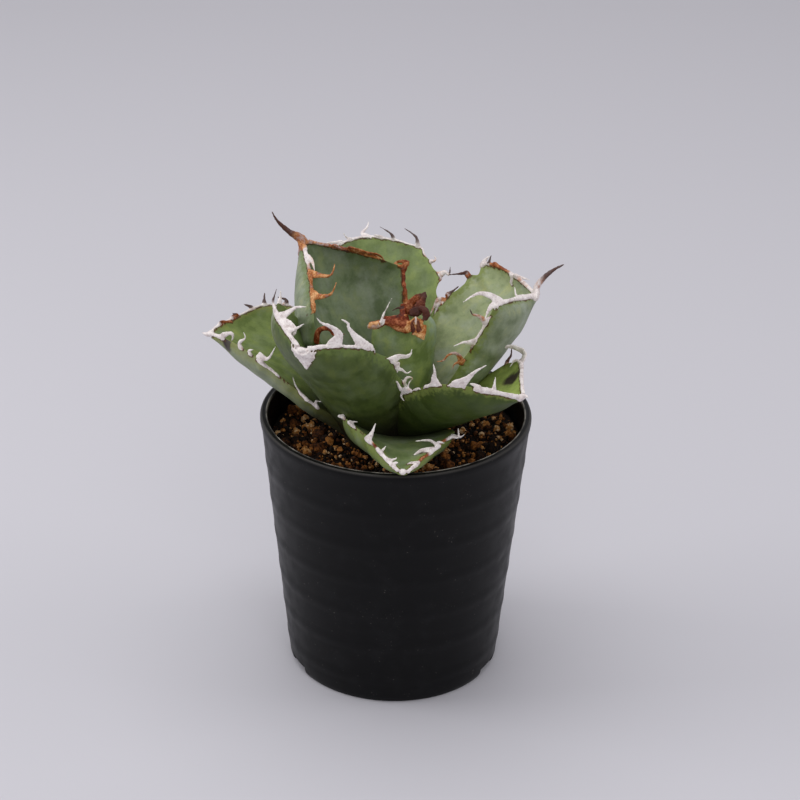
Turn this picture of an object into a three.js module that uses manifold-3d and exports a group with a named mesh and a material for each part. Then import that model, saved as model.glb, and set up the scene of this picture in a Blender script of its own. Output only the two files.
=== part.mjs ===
// A small white-margined agave in a round black nursery pot.
// Millimetres, +Z up. The origin is in the middle of the pot's foot, on the surface that it stands on.
import * as THREE from "three";
import { mergeVertices } from "three/addons/utils/BufferGeometryUtils.js";
import Module from "manifold-3d";

const wasm = await Module();
wasm.setup();

// Air between two neighbouring pieces, the narrower seam between a leaf and its own margin, and the
// coarseness that a cut edge is cleaned to
const GAP = 0.35;
const SEAM = 0.25;
const CLEAN = 0.08;

// Pot: a lip over a tapering wall, and a foot ring with drain notches round a raised floor
const POT = {
  height: 93,
  rimRadius: 45.5,
  lipWidth: 2.4,
  lipHeight: 4.6,
  neckRadius: 44.9,
  baseRadius: 35.7,
  wall: 1.5,
  footRadius: 34.3,
  footWidth: 4.5,
  floorRise: 1.6,
  floorThick: 1.8,
  padRadius: 8,
  ringCount: 4,
  ringRelief: 0.35,
  sides: 36,
  chamfer: 0.9,
  innerEase: 0.4,
  draft: 1,
  ringSlope: 1.5,
};
// The rounding between the pot's wall and its foot: its inset, and the heights where it starts and ends
const FOOT_EDGE = { inset: 0.3, low: 0.7, high: 2.2 };
const NOTCH = { anglesFromFront: [-114, -66, 66, 114], width: 11, height: 3.2 };
const DRAIN = { count: 6, radius: 3, circle: 18, sides: 12 };

// Soil: fills the pot to below the lip, with a granular top and a plain hole for the stem
const SOIL = { top: 83.8, relief: 0.7, grain: 4.4, seed: 7 };
const STEM = { foot: 66, top: 93, radius: 6.2, neck: 5, sides: 14 };
// The plant stands a little off the middle of its pot
const PLANT = new THREE.Vector3(-0.7, 0, 0);
// No leaf goes below this level, so that every leaf lies clear of the soil
const LEAF_FLOOR = SOIL.top + SOIL.relief + GAP;
const LEAF_REACH = 80;

// Bud: the closed cone of young leaves, given by the shares of its height and of its radius
const BUD = { x: 1, y: 3, foot: 93.5, top: 127, radius: 7.5, footShare: 0.7, sides: 12 };
const BUD_SWELL = [[0.25, 0.95], [0.5, 1], [0.75, 0.82], [0.92, 0.5]];

// Dried brown tip: a knot, and its scales, which are a dark point, a lump, a flap and a thin spine
const DRY_KNOT = { at: [3.8, -14.5, 132.5], size: [6.2, 2.4, 3.4] };
const DRY_SCALES = [
  { from: [6.5, -13.5, 132], bend: [7, -13.5, 138], to: [10.4, -12, 144], width: 3, thick: 1 },
  { from: [1, -14.5, 132.5], bend: [-4, -13.5, 133], to: [-8.8, -9.5, 130], width: 2.2, thick: 1.6 },
  { from: [5, -15, 133], bend: [8, -18, 133], to: [8.2, -18.5, 127.5], width: 3.2, thick: 0.9 },
  { from: [-2, -14, 131.5], bend: [-4.5, -11, 135], to: [-0.8, -10, 140.5], width: 1, thick: 0.9 },
];

// Blade: rows along it and columns across it, the thickness of its edge, and how its keel thins towards the
// tip and its section is crowned. Its outline swells by a low bump under each tooth.
const BLADE = {
  rows: 13,
  columns: 6,
  edge: 1.3,
  tip: 1.3,
  foot: -0.06,
  thinning: 0.45,
  crown: 0.6,
  bump: 1.2,
  bumpLength: 2.6,
};
// Margin: a bead that runs away from the blade's edge by a narrow gap. It starts thin and gains its full size
const BEAD = { wide: 1, high: 1.1, sides: 4, away: 0.38, startShare: 0.35, gain: 6 };
// Teeth grow from the bead, and the tip's spine is the longest of them
const TOOTH = { root: 1.5, high: 0.75, point: 0.1, sides: 3, sink: 0.5, bend: 0.6, taper: 1.3, long: 5 };
const SPINE = { root: 1.2, high: 0.9, bend: 0.5 };
const MARGIN_REACH = BEAD.wide + BEAD.away;
// A leaf's outline is inset square to itself, never to less than this half width
const SLANT_STEP = 0.005;
const NARROWEST = 0.5;

// Colours of the pieces
const COLOURS = {
  pot: 0x17181a,
  soil: 0x3a2416,
  stem: 0x6d7a4a,
  blade: 0x4f6b45,
  bladePale: 0x6f8a55,
  white: 0xd9d2cd,
  brown: 0x8a5a38,
};

// Leaves, from the oldest and lowest to the youngest. azimuth is counter-clockwise from +X, rise is the
// midrib's slope at the foot and at the tip, and base is where the inner face leaves the stem (radius,
// height). sweep bends the midrib sideways and roll turns the blade about it. Each half has its own
// width, the place of that width along the leaf, the share of it left at the foot, how late it tapers,
// and how far it cups. A tooth is the place along the leaf, then the way to its point: out, along, up.
const LEAVES = [
  {
    name: "low_back_left", azimuth: 134, rise: [26, 14], length: 42, base: [8, 88],
    sweep: 0, roll: [0, 0], thick: 6,
    ccw: { width: 15, widest: 0.5, foot: 0.6, taper: 1.8, cup: 34, start: 0.3 },
    cw: { width: 16, widest: 0.5, foot: 0.6, taper: 1.8, cup: 34, start: 0.3 },
    ccwTeeth: [[0.55, 3, 1, 1], [0.72, 4, 2, 1], [0.88, 3, 1, 2]],
    cwTeeth: [[0.45, 3, 1, 2], [0.62, 4, -1, 1], [0.78, 3, 2, 1], [0.91, 3, 1, 1]],
    spine: [4, 0, 1], dry: false,
  },
  {
    name: "front", azimuth: 273, rise: [28, 0], length: 47, base: [9, 88.5],
    sweep: 0.01, roll: [-6, -7], thick: 7.4,
    ccw: { width: 19.4, widest: 0.37, foot: 0.55, taper: 1.1, cup: 32, start: 0.3 },
    cw: { width: 18.8, widest: 0.34, foot: 0.55, taper: 1.1, cup: 38, start: 0.2 },
    ccwTeeth: [[0.89, 5, -2, 3], [0.68, 1, 4, 3.5], [0.47, 4, -0.5, 1]],
    cwTeeth: [[0.88, 1, 2.5, 1.5], [0.65, 2.5, 1, 4.5], [0.5, 2, -0.5, 0.5]],
    spine: [2.5, 0.3, -0.5], dry: false,
  },
  {
    name: "low_back_right", azimuth: 58, rise: [28, 14], length: 38, base: [8.5, 88.5],
    sweep: 0, roll: [0, 0], thick: 6,
    ccw: { width: 16, widest: 0.5, foot: 0.6, taper: 1.8, cup: 36, start: 0.3 },
    cw: { width: 15, widest: 0.5, foot: 0.6, taper: 1.8, cup: 36, start: 0.3 },
    ccwTeeth: [[0.5, 3, 1, 1], [0.68, 4, 1, 2], [0.86, 3, 2, 1]],
    cwTeeth: [[0.52, 3, 1, 1], [0.7, 4, -1, 1], [0.87, 3, 1, 2]],
    spine: [4, 0, 1], dry: false,
  },
  {
    name: "left", azimuth: 163, rise: [37, 18], length: 60, base: [9, 88.5],
    sweep: 0.12, roll: [-12, 14], thick: 7.2,
    ccw: { width: 23.2, widest: 0.56, foot: 0.5, taper: 1.9, cup: 37, start: 0.25 },
    cw: { width: 24.3, widest: 0.62, foot: 0.55, taper: 2.3, cup: 49, start: 0.4 },
    ccwTeeth: [[0.93, 1.5, -1.5, 2], [0.83, 4, -1, 3], [0.72, 4.5, -5, 5.5], [0.38, 2.5, 9, 2],
      [0.3, 2, 0.5, 2]],
    cwTeeth: [[0.95, 2, 1.5, -1.5], [0.83, 3, 1, -0.5], [0.77, 3.5, -0.5, 0.5], [0.68, 2, -1.5, 0.5]],
    spine: [3, 0, 0], dry: false,
  },
  {
    name: "front_right", azimuth: 318, rise: [38, 21], length: 51.5, base: [6.5, 90],
    sweep: 0.08, roll: [-12, 1], thick: 6.4,
    ccw: { width: 20.8, widest: 0.78, foot: 0.54, taper: 1.1, cup: 46, start: 0.4 },
    cw: { width: 23.2, widest: 0.81, foot: 0.57, taper: 2.6, cup: 58, start: 0.2 },
    ccwTeeth: [[0.9, 1.5, 0, 3], [0.78, 1, -2.5, 7], [0.69, 4, 1, 0]],
    cwTeeth: [[0.95, 3, -1.5, 1], [0.85, 9, 7, 1.5], [0.72, 7.5, 0.5, 2.5], [0.44, 6, -1.5, -2],
      [0.32, 2.5, -1.5, -3]],
    spine: [3, -1, -1.5], dry: false,
  },
  {
    name: "back", azimuth: 102, rise: [48, 36], length: 63, base: [11, 89.5],
    sweep: -0.03, roll: [-4, 2], thick: 6.5,
    ccw: { width: 23, widest: 0.65, foot: 0.5, taper: 2.3, cup: 42, start: 0.45 },
    cw: { width: 23.5, widest: 0.7, foot: 0.4, taper: 2.3, cup: 50, start: 0.4 },
    ccwTeeth: [[0.95, 2.5, -1, -1], [0.8, 3, 1, 1], [0.62, 3, 0, 1]],
    cwTeeth: [[0.93, 5, 4, 2], [0.85, 4.5, 4.5, 3], [0.74, 1.5, 1.5, 1], [0.65, 4.5, 1, -0.5],
      [0.5, 3, 0, 1]],
    spine: [5, -2, 0.5], dry: false,
  },
  {
    name: "front_left", azimuth: 223, rise: [61, 40], length: 62, base: [10.5, 89],
    sweep: 0.18, roll: [-4, 10], thick: 7.6,
    ccw: { width: 21.8, widest: 0.56, foot: 0.55, taper: 2.4, cup: 70, start: 0.4 },
    cw: { width: 28.6, widest: 0.66, foot: 0.55, taper: 2.4, cup: 59, start: 0.45 },
    ccwTeeth: [[0.91, 8, 5, 2.5], [0.81, 6.5, 6, 4], [0.71, 2.5, 0, 0], [0.59, 6, -0.5, -1],
      [0.5, 2, -1.5, -2]],
    cwTeeth: [[0.93, 3, 3, 4], [0.87, 5, 4, 7.5], [0.8, 5.5, -0.5, 1], [0.62, 3, 0, 1]],
    spine: [3, 4, -4.5], dry: false,
  },
  {
    name: "right", azimuth: 15, rise: [43, 50], length: 58, base: [6.5, 91],
    sweep: -0.08, roll: [12, -17], thick: 6.6,
    ccw: { width: 26.6, widest: 0.85, foot: 0.57, taper: 1.8, cup: 59, start: 0.4 },
    cw: { width: 25.5, widest: 0.9, foot: 0.53, taper: 1.8, cup: 63, start: 0.35 },
    ccwTeeth: [[0.94, 1.5, 1, -2], [0.87, 2.5, 0, 0.5], [0.75, 5, -3.5, 0.5], [0.6, 1, 3.5, 0],
      [0.51, 1, 2.5, 0]],
    cwTeeth: [[0.92, 3, -6.5, 5.5], [0.78, 6.5, 3.5, 2.5], [0.64, 5.5, -1.5, 0.5], [0.51, 8, -2, 1]],
    spine: [15, 0, -1.5], dry: false,
  },
  {
    name: "back_left", azimuth: 146, rise: [50, 70], length: 60, base: [8.5, 92],
    sweep: -0.04, roll: [-16, 10], thick: 6.4,
    ccw: { width: 30.4, widest: 0.61, foot: 0.5, taper: 1.1, cup: 67, start: 0.45 },
    cw: { width: 31, widest: 0.69, foot: 0.3, taper: 1.35, cup: 84, start: 0.36 },
    ccwTeeth: [[0.91, 2.5, -1.5, 2], [0.84, 7, -1, 2.5], [0.74, 6.5, 0, 2], [0.68, 1, -4.5, 0]],
    cwTeeth: [[0.93, 2, -1, -1], [0.87, 5, -4.5, 2], [0.77, 2, 4, 0.5], [0.69, 1, 2.5, 3]],
    spine: [12.5, 3.5, -6.5], dry: true,
  },
  {
    name: "heart", azimuth: 286, rise: [89, 72], length: 46, base: [7, 90],
    sweep: -0.02, roll: [7, 2], thick: 6,
    ccw: { width: 15.5, widest: 0.75, foot: 0.4, taper: 1.4, cup: 69, start: 0.6 },
    cw: { width: 10, widest: 0.8, foot: 0.35, taper: 2, cup: 72, start: 0.6 },
    ccwTeeth: [[0.85, 1.5, 2, 1], [0.7, 1.5, -1, 1]],
    cwTeeth: [[0.86, 1.5, 2, 1], [0.72, 1.5, 1, 1]],
    spine: [2.5, 0.5, -1], dry: true,
  },
];

const UP = new THREE.Vector3(0, 0, 1);
const radians = THREE.MathUtils.degToRad;
const vector = (x, y, z) => new THREE.Vector3(x, y, z);

// A closed mesh as a solid, with vertices that fall together merged
function solid(geometry) {
  const bare = geometry.clone();
  bare.deleteAttribute("normal");
  bare.deleteAttribute("uv");
  const merged = mergeVertices(bare, 1e-4);
  const mesh = new wasm.Mesh({
    numProp: 3,
    vertProperties: new Float32Array(merged.attributes.position.array),
    triVerts: new Uint32Array(merged.index.array),
  });
  mesh.merge();
  return new wasm.Manifold(mesh);
}

// The largest piece of a solid, without the slivers of its cut edges
function largest(shape) {
  const bulk = (piece) => piece.decompose().sort((a, b) => b.volume() - a.volume())[0];
  return bulk(bulk(shape).simplify(CLEAN));
}

// A named mesh of a solid, in one plain colour
function part(name, shape, color, roughness = 0.6) {
  const { vertProperties, triVerts } = shape.getMesh();
  const geometry = new THREE.BufferGeometry();
  geometry.setAttribute("position", new THREE.BufferAttribute(new Float32Array(vertProperties), 3));
  geometry.setIndex(new THREE.BufferAttribute(new Uint32Array(triVerts), 1));
  geometry.computeVertexNormals();
  const mesh = new THREE.Mesh(geometry, new THREE.MeshStandardMaterial({ color, roughness, metalness: 0 }));
  mesh.name = name;
  return mesh;
}

// A closed sheet: a grid and its back, split alike, joined by a rim.
// place gives the point at t from 0 to 1, c from -1 to 1, on the back (depth 0) or the front (depth 1).
function closedSheet(columns, rows, place) {
  const grid = new THREE.PlaneGeometry(2, 1, columns, rows);
  const spots = grid.attributes.position;
  const points = [];
  for (const depth of [1, 0]) {
    for (let i = 0; i < spots.count; i++) {
      points.push(...place(spots.getY(i) + 0.5, spots.getX(i), depth).toArray());
    }
  }
  const front = [...grid.index.array];
  const back = [];
  for (let i = 0; i < front.length; i += 3) {
    back.push(front[i] + spots.count, front[i + 2] + spots.count, front[i + 1] + spots.count);
  }
  const at = (column, row) => row * (columns + 1) + column;
  const border = [];
  for (let i = 0; i < columns; i++) border.push(at(i, rows));
  for (let i = rows; i > 0; i--) border.push(at(columns, i));
  for (let i = columns; i > 0; i--) border.push(at(i, 0));
  for (let i = 0; i < rows; i++) border.push(at(0, i));
  const rim = border.flatMap((a, i) => {
    const b = border[(i + 1) % border.length];
    return [b, a, a + spots.count, b, a + spots.count, b + spots.count];
  });
  const geometry = new THREE.BufferGeometry();
  geometry.setAttribute("position", new THREE.Float32BufferAttribute(points, 3));
  geometry.setIndex([...front, ...back, ...rim]);
  return geometry;
}

// A closed rope through stations, each with its middle, two directions across it and its half sizes
function rope(stations, sides) {
  const rows = stations.length - 1;
  const geometry = new THREE.CylinderGeometry(1, 1, 1, sides, rows);
  const spots = geometry.attributes.position;
  for (let i = 0; i < spots.count; i++) {
    const { at, out, up, wide, high } = stations[Math.round((spots.getY(i) + 0.5) * rows)];
    const point = at.clone().addScaledVector(out, spots.getX(i) * wide);
    point.addScaledVector(up, -spots.getZ(i) * high);
    spots.setXYZ(i, point.x, point.y, point.z);
  }
  return geometry;
}

// A rope that narrows along a bent line, wide across the line and flat along the given normal
function taperedRope(from, bend, to, normal, width, thick, point, sides) {
  const rows = from.distanceTo(to) < TOOTH.long ? 2 : 3;
  const line = new THREE.QuadraticBezierCurve3(from, bend, to);
  const stations = [];
  for (let i = 0; i <= rows; i++) {
    const s = i / rows;
    const along = line.getTangent(s);
    const out = normal.clone().cross(along).normalize();
    const up = along.clone().cross(out);
    const left = (1 - s) ** TOOTH.taper;
    stations.push({ at: line.getPoint(s), out, up, wide: point + width * left, high: point + thick * left });
  }
  return rope(stations, sides);
}

// From the midrib to the middle of the margin on one side of a leaf, with a low bump at each tooth
function halfWidth(t, half, teeth, length) {
  const share = (value) => THREE.MathUtils.clamp(value, 0, 1);
  const foot = half.foot + (1 - half.foot) * Math.sin((Math.PI / 2) * share(t / half.widest));
  const beyond = share((t - half.widest) / (1 - half.widest)) ** half.taper;
  const plain = t < half.widest ? half.width * foot : BLADE.tip + (half.width - BLADE.tip) * (1 - beyond);
  const fade = Math.sin(Math.PI * share(t)) ** 0.5;
  const bump = (at) => Math.exp(-(((t - at) * length) ** 2) / BLADE.bumpLength ** 2);
  const bumps = teeth.reduce((sum, [at]) => sum + bump(at), 0);
  return plain + BLADE.bump * fade * Math.min(bumps, 1);
}

// Midrib point, tangent, direction across and normal of a leaf at t
function leafFrame(leaf, t) {
  const azimuth = radians(leaf.azimuth);
  const outward = vector(Math.cos(azimuth), Math.sin(azimuth), 0);
  const sideways = vector(-Math.sin(azimuth), Math.cos(azimuth), 0);
  const [low, high] = leaf.rise.map(radians);
  const turn = high - low;
  const slope = low + turn * t;
  const reach = leaf.base[0] + (leaf.length * (Math.sin(slope) - Math.sin(low))) / turn;
  const height = leaf.base[1] - (leaf.length * (Math.cos(slope) - Math.cos(low))) / turn;
  const shift = leaf.sweep * leaf.length * t * Math.abs(t);
  const middle = PLANT.clone().addScaledVector(outward, reach).addScaledVector(UP, height);
  middle.addScaledVector(sideways, shift);
  const along = outward.clone().multiplyScalar(Math.cos(slope)).addScaledVector(UP, Math.sin(slope));
  along.addScaledVector(sideways, 2 * leaf.sweep * Math.abs(t)).normalize();
  const across = sideways.clone().addScaledVector(along, -sideways.dot(along)).normalize();
  const normal = along.clone().cross(across);
  const roll = radians(leaf.roll[0] + (leaf.roll[1] - leaf.roll[0]) * t);
  across.applyAxisAngle(along, roll);
  normal.applyAxisAngle(along, roll);
  return { middle, along, across, normal };
}

// Point of a leaf: t along it, c from -1 to 1 across it, depth below its inner face, wider by spread
function leafPoint(leaf, t, c, depth, spread = 0) {
  const { middle, across, normal } = leafFrame(leaf, t);
  const half = c >= 0 ? leaf.ccw : leaf.cw;
  const teeth = c >= 0 ? leaf.ccwTeeth : leaf.cwTeeth;
  const outline = (at) => halfWidth(at, half, teeth, leaf.length);
  const slant = (outline(t + SLANT_STEP) - outline(t - SLANT_STEP)) / (2 * SLANT_STEP * leaf.length);
  const width = Math.max(outline(t) + spread * Math.hypot(1, slant), NARROWEST);
  const cup = radians(half.cup);
  const turned = cup * c;
  const x = (width * Math.sin(turned)) / cup + depth * Math.sin(turned);
  const lift = (width * (1 - Math.cos(turned))) / cup - depth * Math.cos(turned);
  return middle.addScaledVector(across, x).addScaledVector(normal, lift);
}

// Thickness of a leaf: a keel along the midrib that thins out to the edges and to the tip
function leafThickness(leaf, t, c) {
  const keel = leaf.thick * (1 - BLADE.thinning * Math.max(t, 0) ** 2);
  return BLADE.edge + (keel - BLADE.edge) * (1 - c * c) ** BLADE.crown;
}

// The blade of a leaf, grown on every side by grow
function blade(leaf, grow = 0) {
  const start = BLADE.foot - grow / leaf.length;
  const end = 1 + (grow - MARGIN_REACH) / leaf.length;
  return solid(closedSheet(BLADE.columns, BLADE.rows, (u, c, depth) => {
    const t = start + (end - start) * u;
    const below = depth ? leafThickness(leaf, t, c) + grow : -grow;
    return leafPoint(leaf, t, c, below, grow - MARGIN_REACH);
  }));
}

// Station of the margin, with its own direction, the way out of the blade and the blade's normal
function marginSpot(leaf, t, side) {
  const step = 0.01;
  const inward = 0.97;
  const depth = BLADE.edge / 2;
  const at = leafPoint(leaf, t, side, depth);
  const ahead = leafPoint(leaf, Math.min(t + step, 1), side, depth);
  const along = ahead.sub(leafPoint(leaf, t - step, side, depth)).normalize();
  const out = at.clone().sub(leafPoint(leaf, t, side * inward, depth));
  out.addScaledVector(along, -out.dot(along)).normalize();
  const up = along.clone().cross(out).multiplyScalar(side);
  return { at, along, out, up };
}

// The margin of a leaf: the bead round its edge, the teeth on it and the spine at the tip
function margin(leaf, grow = 0) {
  const wide = BEAD.wide + grow;
  const high = BEAD.high + grow;
  const run = (side, half) => {
    const spots = [];
    for (let i = 0; i <= BLADE.rows; i++) {
      const t = BLADE.foot + ((1 - BLADE.foot) * i) / BLADE.rows;
      if (t < half.start) continue;
      const { at, out, up } = marginSpot(leaf, t, side);
      const thin = THREE.MathUtils.clamp(BEAD.startShare + (t - half.start) * BEAD.gain, 0, 1);
      spots.push({ at, out, up, wide: wide * thin, high: high * thin });
    }
    return spots;
  };
  const ccw = run(1, leaf.ccw);
  const cw = run(-1, leaf.cw).reverse();
  const tip = leafFrame(leaf, 1);
  const tipAt = leafPoint(leaf, 1, 0, BLADE.edge / 2).addScaledVector(tip.along, BEAD.away);
  const middle = { at: tipAt, out: tip.along, up: tip.normal, wide, high };
  let shape = solid(rope([...ccw, middle, ...cw], BEAD.sides));
  for (const [side, teeth] of [[1, leaf.ccwTeeth], [-1, leaf.cwTeeth]]) {
    for (const [t, outward, forward, lift] of teeth) {
      const spot = marginSpot(leaf, t, side);
      const root = spot.at.clone().addScaledVector(spot.out, -TOOTH.sink);
      const bend = spot.at.clone().addScaledVector(spot.out, Math.max(outward, TOOTH.root) * TOOTH.bend);
      const point = spot.at.clone().addScaledVector(spot.out, outward);
      point.addScaledVector(spot.along, forward).addScaledVector(spot.up, lift);
      const sizes = [TOOTH.root, TOOTH.high, TOOTH.point].map((size) => size + grow);
      shape = shape.add(solid(taperedRope(root, bend, point, spot.up, ...sizes, TOOTH.sides)));
    }
  }
  const [forward, sideways, lift] = leaf.spine;
  const reach = Math.hypot(forward, sideways, lift);
  const root = tipAt.clone().addScaledVector(tip.along, -TOOTH.sink);
  const bend = tipAt.clone().addScaledVector(tip.along, reach * SPINE.bend);
  const point = tipAt.clone().addScaledVector(tip.along, forward).addScaledVector(tip.across, sideways);
  point.addScaledVector(tip.normal, lift);
  const sizes = [SPINE.root, SPINE.high, TOOTH.point].map((size) => size + grow);
  return shape.add(solid(taperedRope(root, bend, point, tip.normal, ...sizes, TOOTH.sides)));
}

// Outer radius of the pot's wall, and inner radius up to the lip's inner edge
const NECK_HEIGHT = POT.height - POT.lipHeight;
const FLOOR_TOP = POT.floorRise + POT.floorThick;
const wallRadius = (z) => POT.baseRadius + ((POT.neckRadius - POT.baseRadius) * z) / NECK_HEIGHT;
const LIP_INNER = { radius: POT.rimRadius - POT.lipWidth, height: POT.height - POT.innerEase };
const floorRadius = wallRadius(FLOOR_TOP) - POT.wall;
const innerRadius = (z) =>
  floorRadius + ((LIP_INNER.radius - floorRadius) * (z - FLOOR_TOP)) / (LIP_INNER.height - FLOOR_TOP);

// The pot: its wall, lip, floor and foot turned about the axis, less the notches and drain holes
function pot() {
  const profile = [[0, 0], [POT.padRadius, 0], [POT.padRadius + POT.draft, POT.floorRise]];
  const ringIn = POT.footRadius - POT.footWidth;
  profile.push([ringIn - POT.draft, POT.floorRise], [ringIn, 0], [POT.footRadius, 0]);
  profile.push([POT.baseRadius - FOOT_EDGE.inset, FOOT_EDGE.low]);
  profile.push([wallRadius(FOOT_EDGE.high), FOOT_EDGE.high]);
  for (let i = 1; i <= POT.ringCount; i++) {
    const z = (NECK_HEIGHT * i) / (POT.ringCount + 1);
    profile.push([wallRadius(z), z], [wallRadius(z) + POT.ringRelief, z + POT.ringSlope]);
  }
  profile.push([POT.neckRadius, NECK_HEIGHT], [POT.rimRadius, NECK_HEIGHT + POT.chamfer]);
  profile.push([POT.rimRadius, POT.height - POT.chamfer], [POT.rimRadius - POT.chamfer, POT.height]);
  profile.push([LIP_INNER.radius + POT.innerEase, POT.height]);
  profile.push([LIP_INNER.radius, LIP_INNER.height], [floorRadius, FLOOR_TOP], [0, FLOOR_TOP]);
  const points = profile.map(([r, z]) => new THREE.Vector2(r, z));
  const turned = new THREE.LatheGeometry(points, POT.sides).rotateX(Math.PI / 2);
  let shape = solid(turned);
  for (const angle of NOTCH.anglesFromFront) {
    const depth = 3 * POT.footWidth;
    const notch = new THREE.BoxGeometry(NOTCH.width, depth, 2 * NOTCH.height);
    notch.translate(0, -POT.baseRadius - depth / 2 + POT.footWidth + POT.draft, 0);
    notch.rotateZ(radians(angle));
    shape = shape.subtract(solid(notch));
  }
  for (let i = 0; i < DRAIN.count; i++) {
    const hole = new THREE.CylinderGeometry(DRAIN.radius, DRAIN.radius, 4 * FLOOR_TOP, DRAIN.sides);
    hole.rotateX(Math.PI / 2);
    hole.translate(DRAIN.circle, 0, 0).rotateZ((i * 2 * Math.PI) / DRAIN.count);
    shape = shape.subtract(solid(hole));
  }
  return largest(shape);
}

// A seeded draw from 0 to 1
function draws(seed) {
  let state = seed;
  return () => {
    state = (state * 16807) % 2147483647;
    return state / 2147483647;
  };
}

// The soil: the pot's inside with a top of low grains, less the stem's hole
function soil() {
  const inside = (z) => innerRadius(z) - GAP;
  const floor = FLOOR_TOP + GAP;
  const draw = draws(SOIL.seed);
  const cells = Math.round((2 * POT.rimRadius) / SOIL.grain);
  const heights = new Map();
  const body = closedSheet(cells, cells, (t, c, depth) => {
    const key = `${t.toFixed(4)} ${c.toFixed(4)}`;
    if (!heights.has(key)) heights.set(key, SOIL.top + SOIL.relief * (2 * draw() - 1));
    return vector(-c * POT.rimRadius, (2 * t - 1) * POT.rimRadius, depth ? floor : heights.get(key));
  });
  const top = SOIL.top + SOIL.grain;
  const under = floor - SOIL.grain;
  const profile = [[0, under], [inside(floor), under], [inside(floor), floor], [inside(top), top], [0, top]];
  const points = profile.map(([r, z]) => new THREE.Vector2(r, z));
  const drum = new THREE.LatheGeometry(points, POT.sides).rotateX(Math.PI / 2);
  return largest(solid(body).intersect(solid(drum)).subtract(stem(GAP)));
}

// The stem: a short column that narrows to the crown
function stem(grow = 0) {
  const tall = STEM.top - STEM.foot + 2 * grow;
  const column = new THREE.CylinderGeometry(STEM.neck + grow, STEM.radius + grow, tall, STEM.sides, 1);
  column.rotateX(Math.PI / 2).translate(PLANT.x, PLANT.y, (STEM.top + STEM.foot) / 2);
  return solid(column);
}

// The bud: a cone that swells above the crown and closes to a blunt tip
function bud(grow = 0) {
  const profile = [[0, BUD.foot - grow], [BUD.radius * BUD.footShare + grow, BUD.foot - grow]];
  for (const [share, width] of BUD_SWELL) {
    profile.push([BUD.radius * width + grow, BUD.foot + (BUD.top - BUD.foot) * share]);
  }
  profile.push([0, BUD.top + grow]);
  const points = profile.map(([r, z]) => new THREE.Vector2(r, z));
  const cone = new THREE.LatheGeometry(points, BUD.sides).rotateX(Math.PI / 2);
  return solid(cone.translate(PLANT.x + BUD.x, PLANT.y + BUD.y, 0));
}

// The dried scales: flat curled tongues that grow from one brown knot
function dryScales(grow = 0) {
  const [x, y, z] = DRY_KNOT.size.map((size) => size + grow);
  const facing = vector(0, -1, 0.2).normalize();
  const middle = vector(...DRY_KNOT.at).add(PLANT);
  const knot = new THREE.SphereGeometry(1, 8, 6).scale(x, y, z).translate(middle.x, middle.y, middle.z);
  return DRY_SCALES.reduce((shape, { from, bend, to, width, thick }) => {
    const ends = [from, bend, to].map((point) => vector(...point).add(PLANT));
    const sizes = [width, thick, TOOTH.point].map((size) => size + grow);
    return shape.add(solid(taperedRope(...ends, facing, ...sizes, TOOTH.sides)));
  }, solid(knot));
}

const agave = new THREE.Group();
agave.add(part("pot", pot(), COLOURS.pot, 0.5));
agave.add(part("soil", soil(), COLOURS.soil, 1));
agave.add(part("stem", largest(stem()), COLOURS.stem));

// What lies below the leaves' lowest level
function ground() {
  const drum = new THREE.CylinderGeometry(LEAF_REACH, LEAF_REACH, LEAF_FLOOR, POT.sides);
  return solid(drum.rotateX(Math.PI / 2).translate(0, 0, LEAF_FLOOR / 2));
}

// Each blade is cut back from the stem and from the blades older than it, and the bud from all of them
let taken = stem(GAP).add(ground());
const grownBlades = LEAVES.map((leaf) => blade(leaf, GAP));
const blades = LEAVES.map((leaf, i) => {
  const shape = largest(blade(leaf).subtract(taken));
  taken = taken.add(grownBlades[i]);
  return shape;
});
LEAVES.forEach((leaf, i) => agave.add(part(`leaf_${leaf.name}`, blades[i], COLOURS.blade)));
agave.add(part("bud", largest(bud().subtract(taken)), COLOURS.bladePale));
taken = taken.add(bud(GAP));

// Each margin is cut back from every blade, from its own by the narrower seam, and from the margins before it
let margins = null;
LEAVES.forEach((leaf, i) => {
  let shape = margin(leaf).subtract(ground()).subtract(blade(leaf, SEAM));
  grownBlades.forEach((other, j) => {
    if (j !== i) shape = shape.subtract(other);
  });
  shape = shape.subtract(bud(GAP));
  if (margins) shape = shape.subtract(margins);
  margins = margins ? margins.add(margin(leaf, GAP)) : margin(leaf, GAP);
  agave.add(part(`margin_${leaf.name}`, largest(shape), leaf.dry ? COLOURS.brown : COLOURS.white));
});
agave.add(part("dry_tip", largest(dryScales().subtract(taken).subtract(margins)), COLOURS.brown));

export default agave;
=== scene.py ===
"""A small white-margined agave in a round black nursery pot, dressed around its fixed frame.

The classes hold their sizes in millimetres, in the frame's own axes: +Z up, -Y towards the viewer.
Finished meshes are in metres.
"""

import logging
import math
import random
from collections.abc import Callable, Iterable, Sequence
from dataclasses import dataclass
from enum import Enum
from typing import Any

import bmesh
import bpy
from mathutils import Euler, Matrix, Quaternion, Vector, noise
from mathutils.bvhtree import BVHTree
from mathutils.kdtree import KDTree


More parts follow.
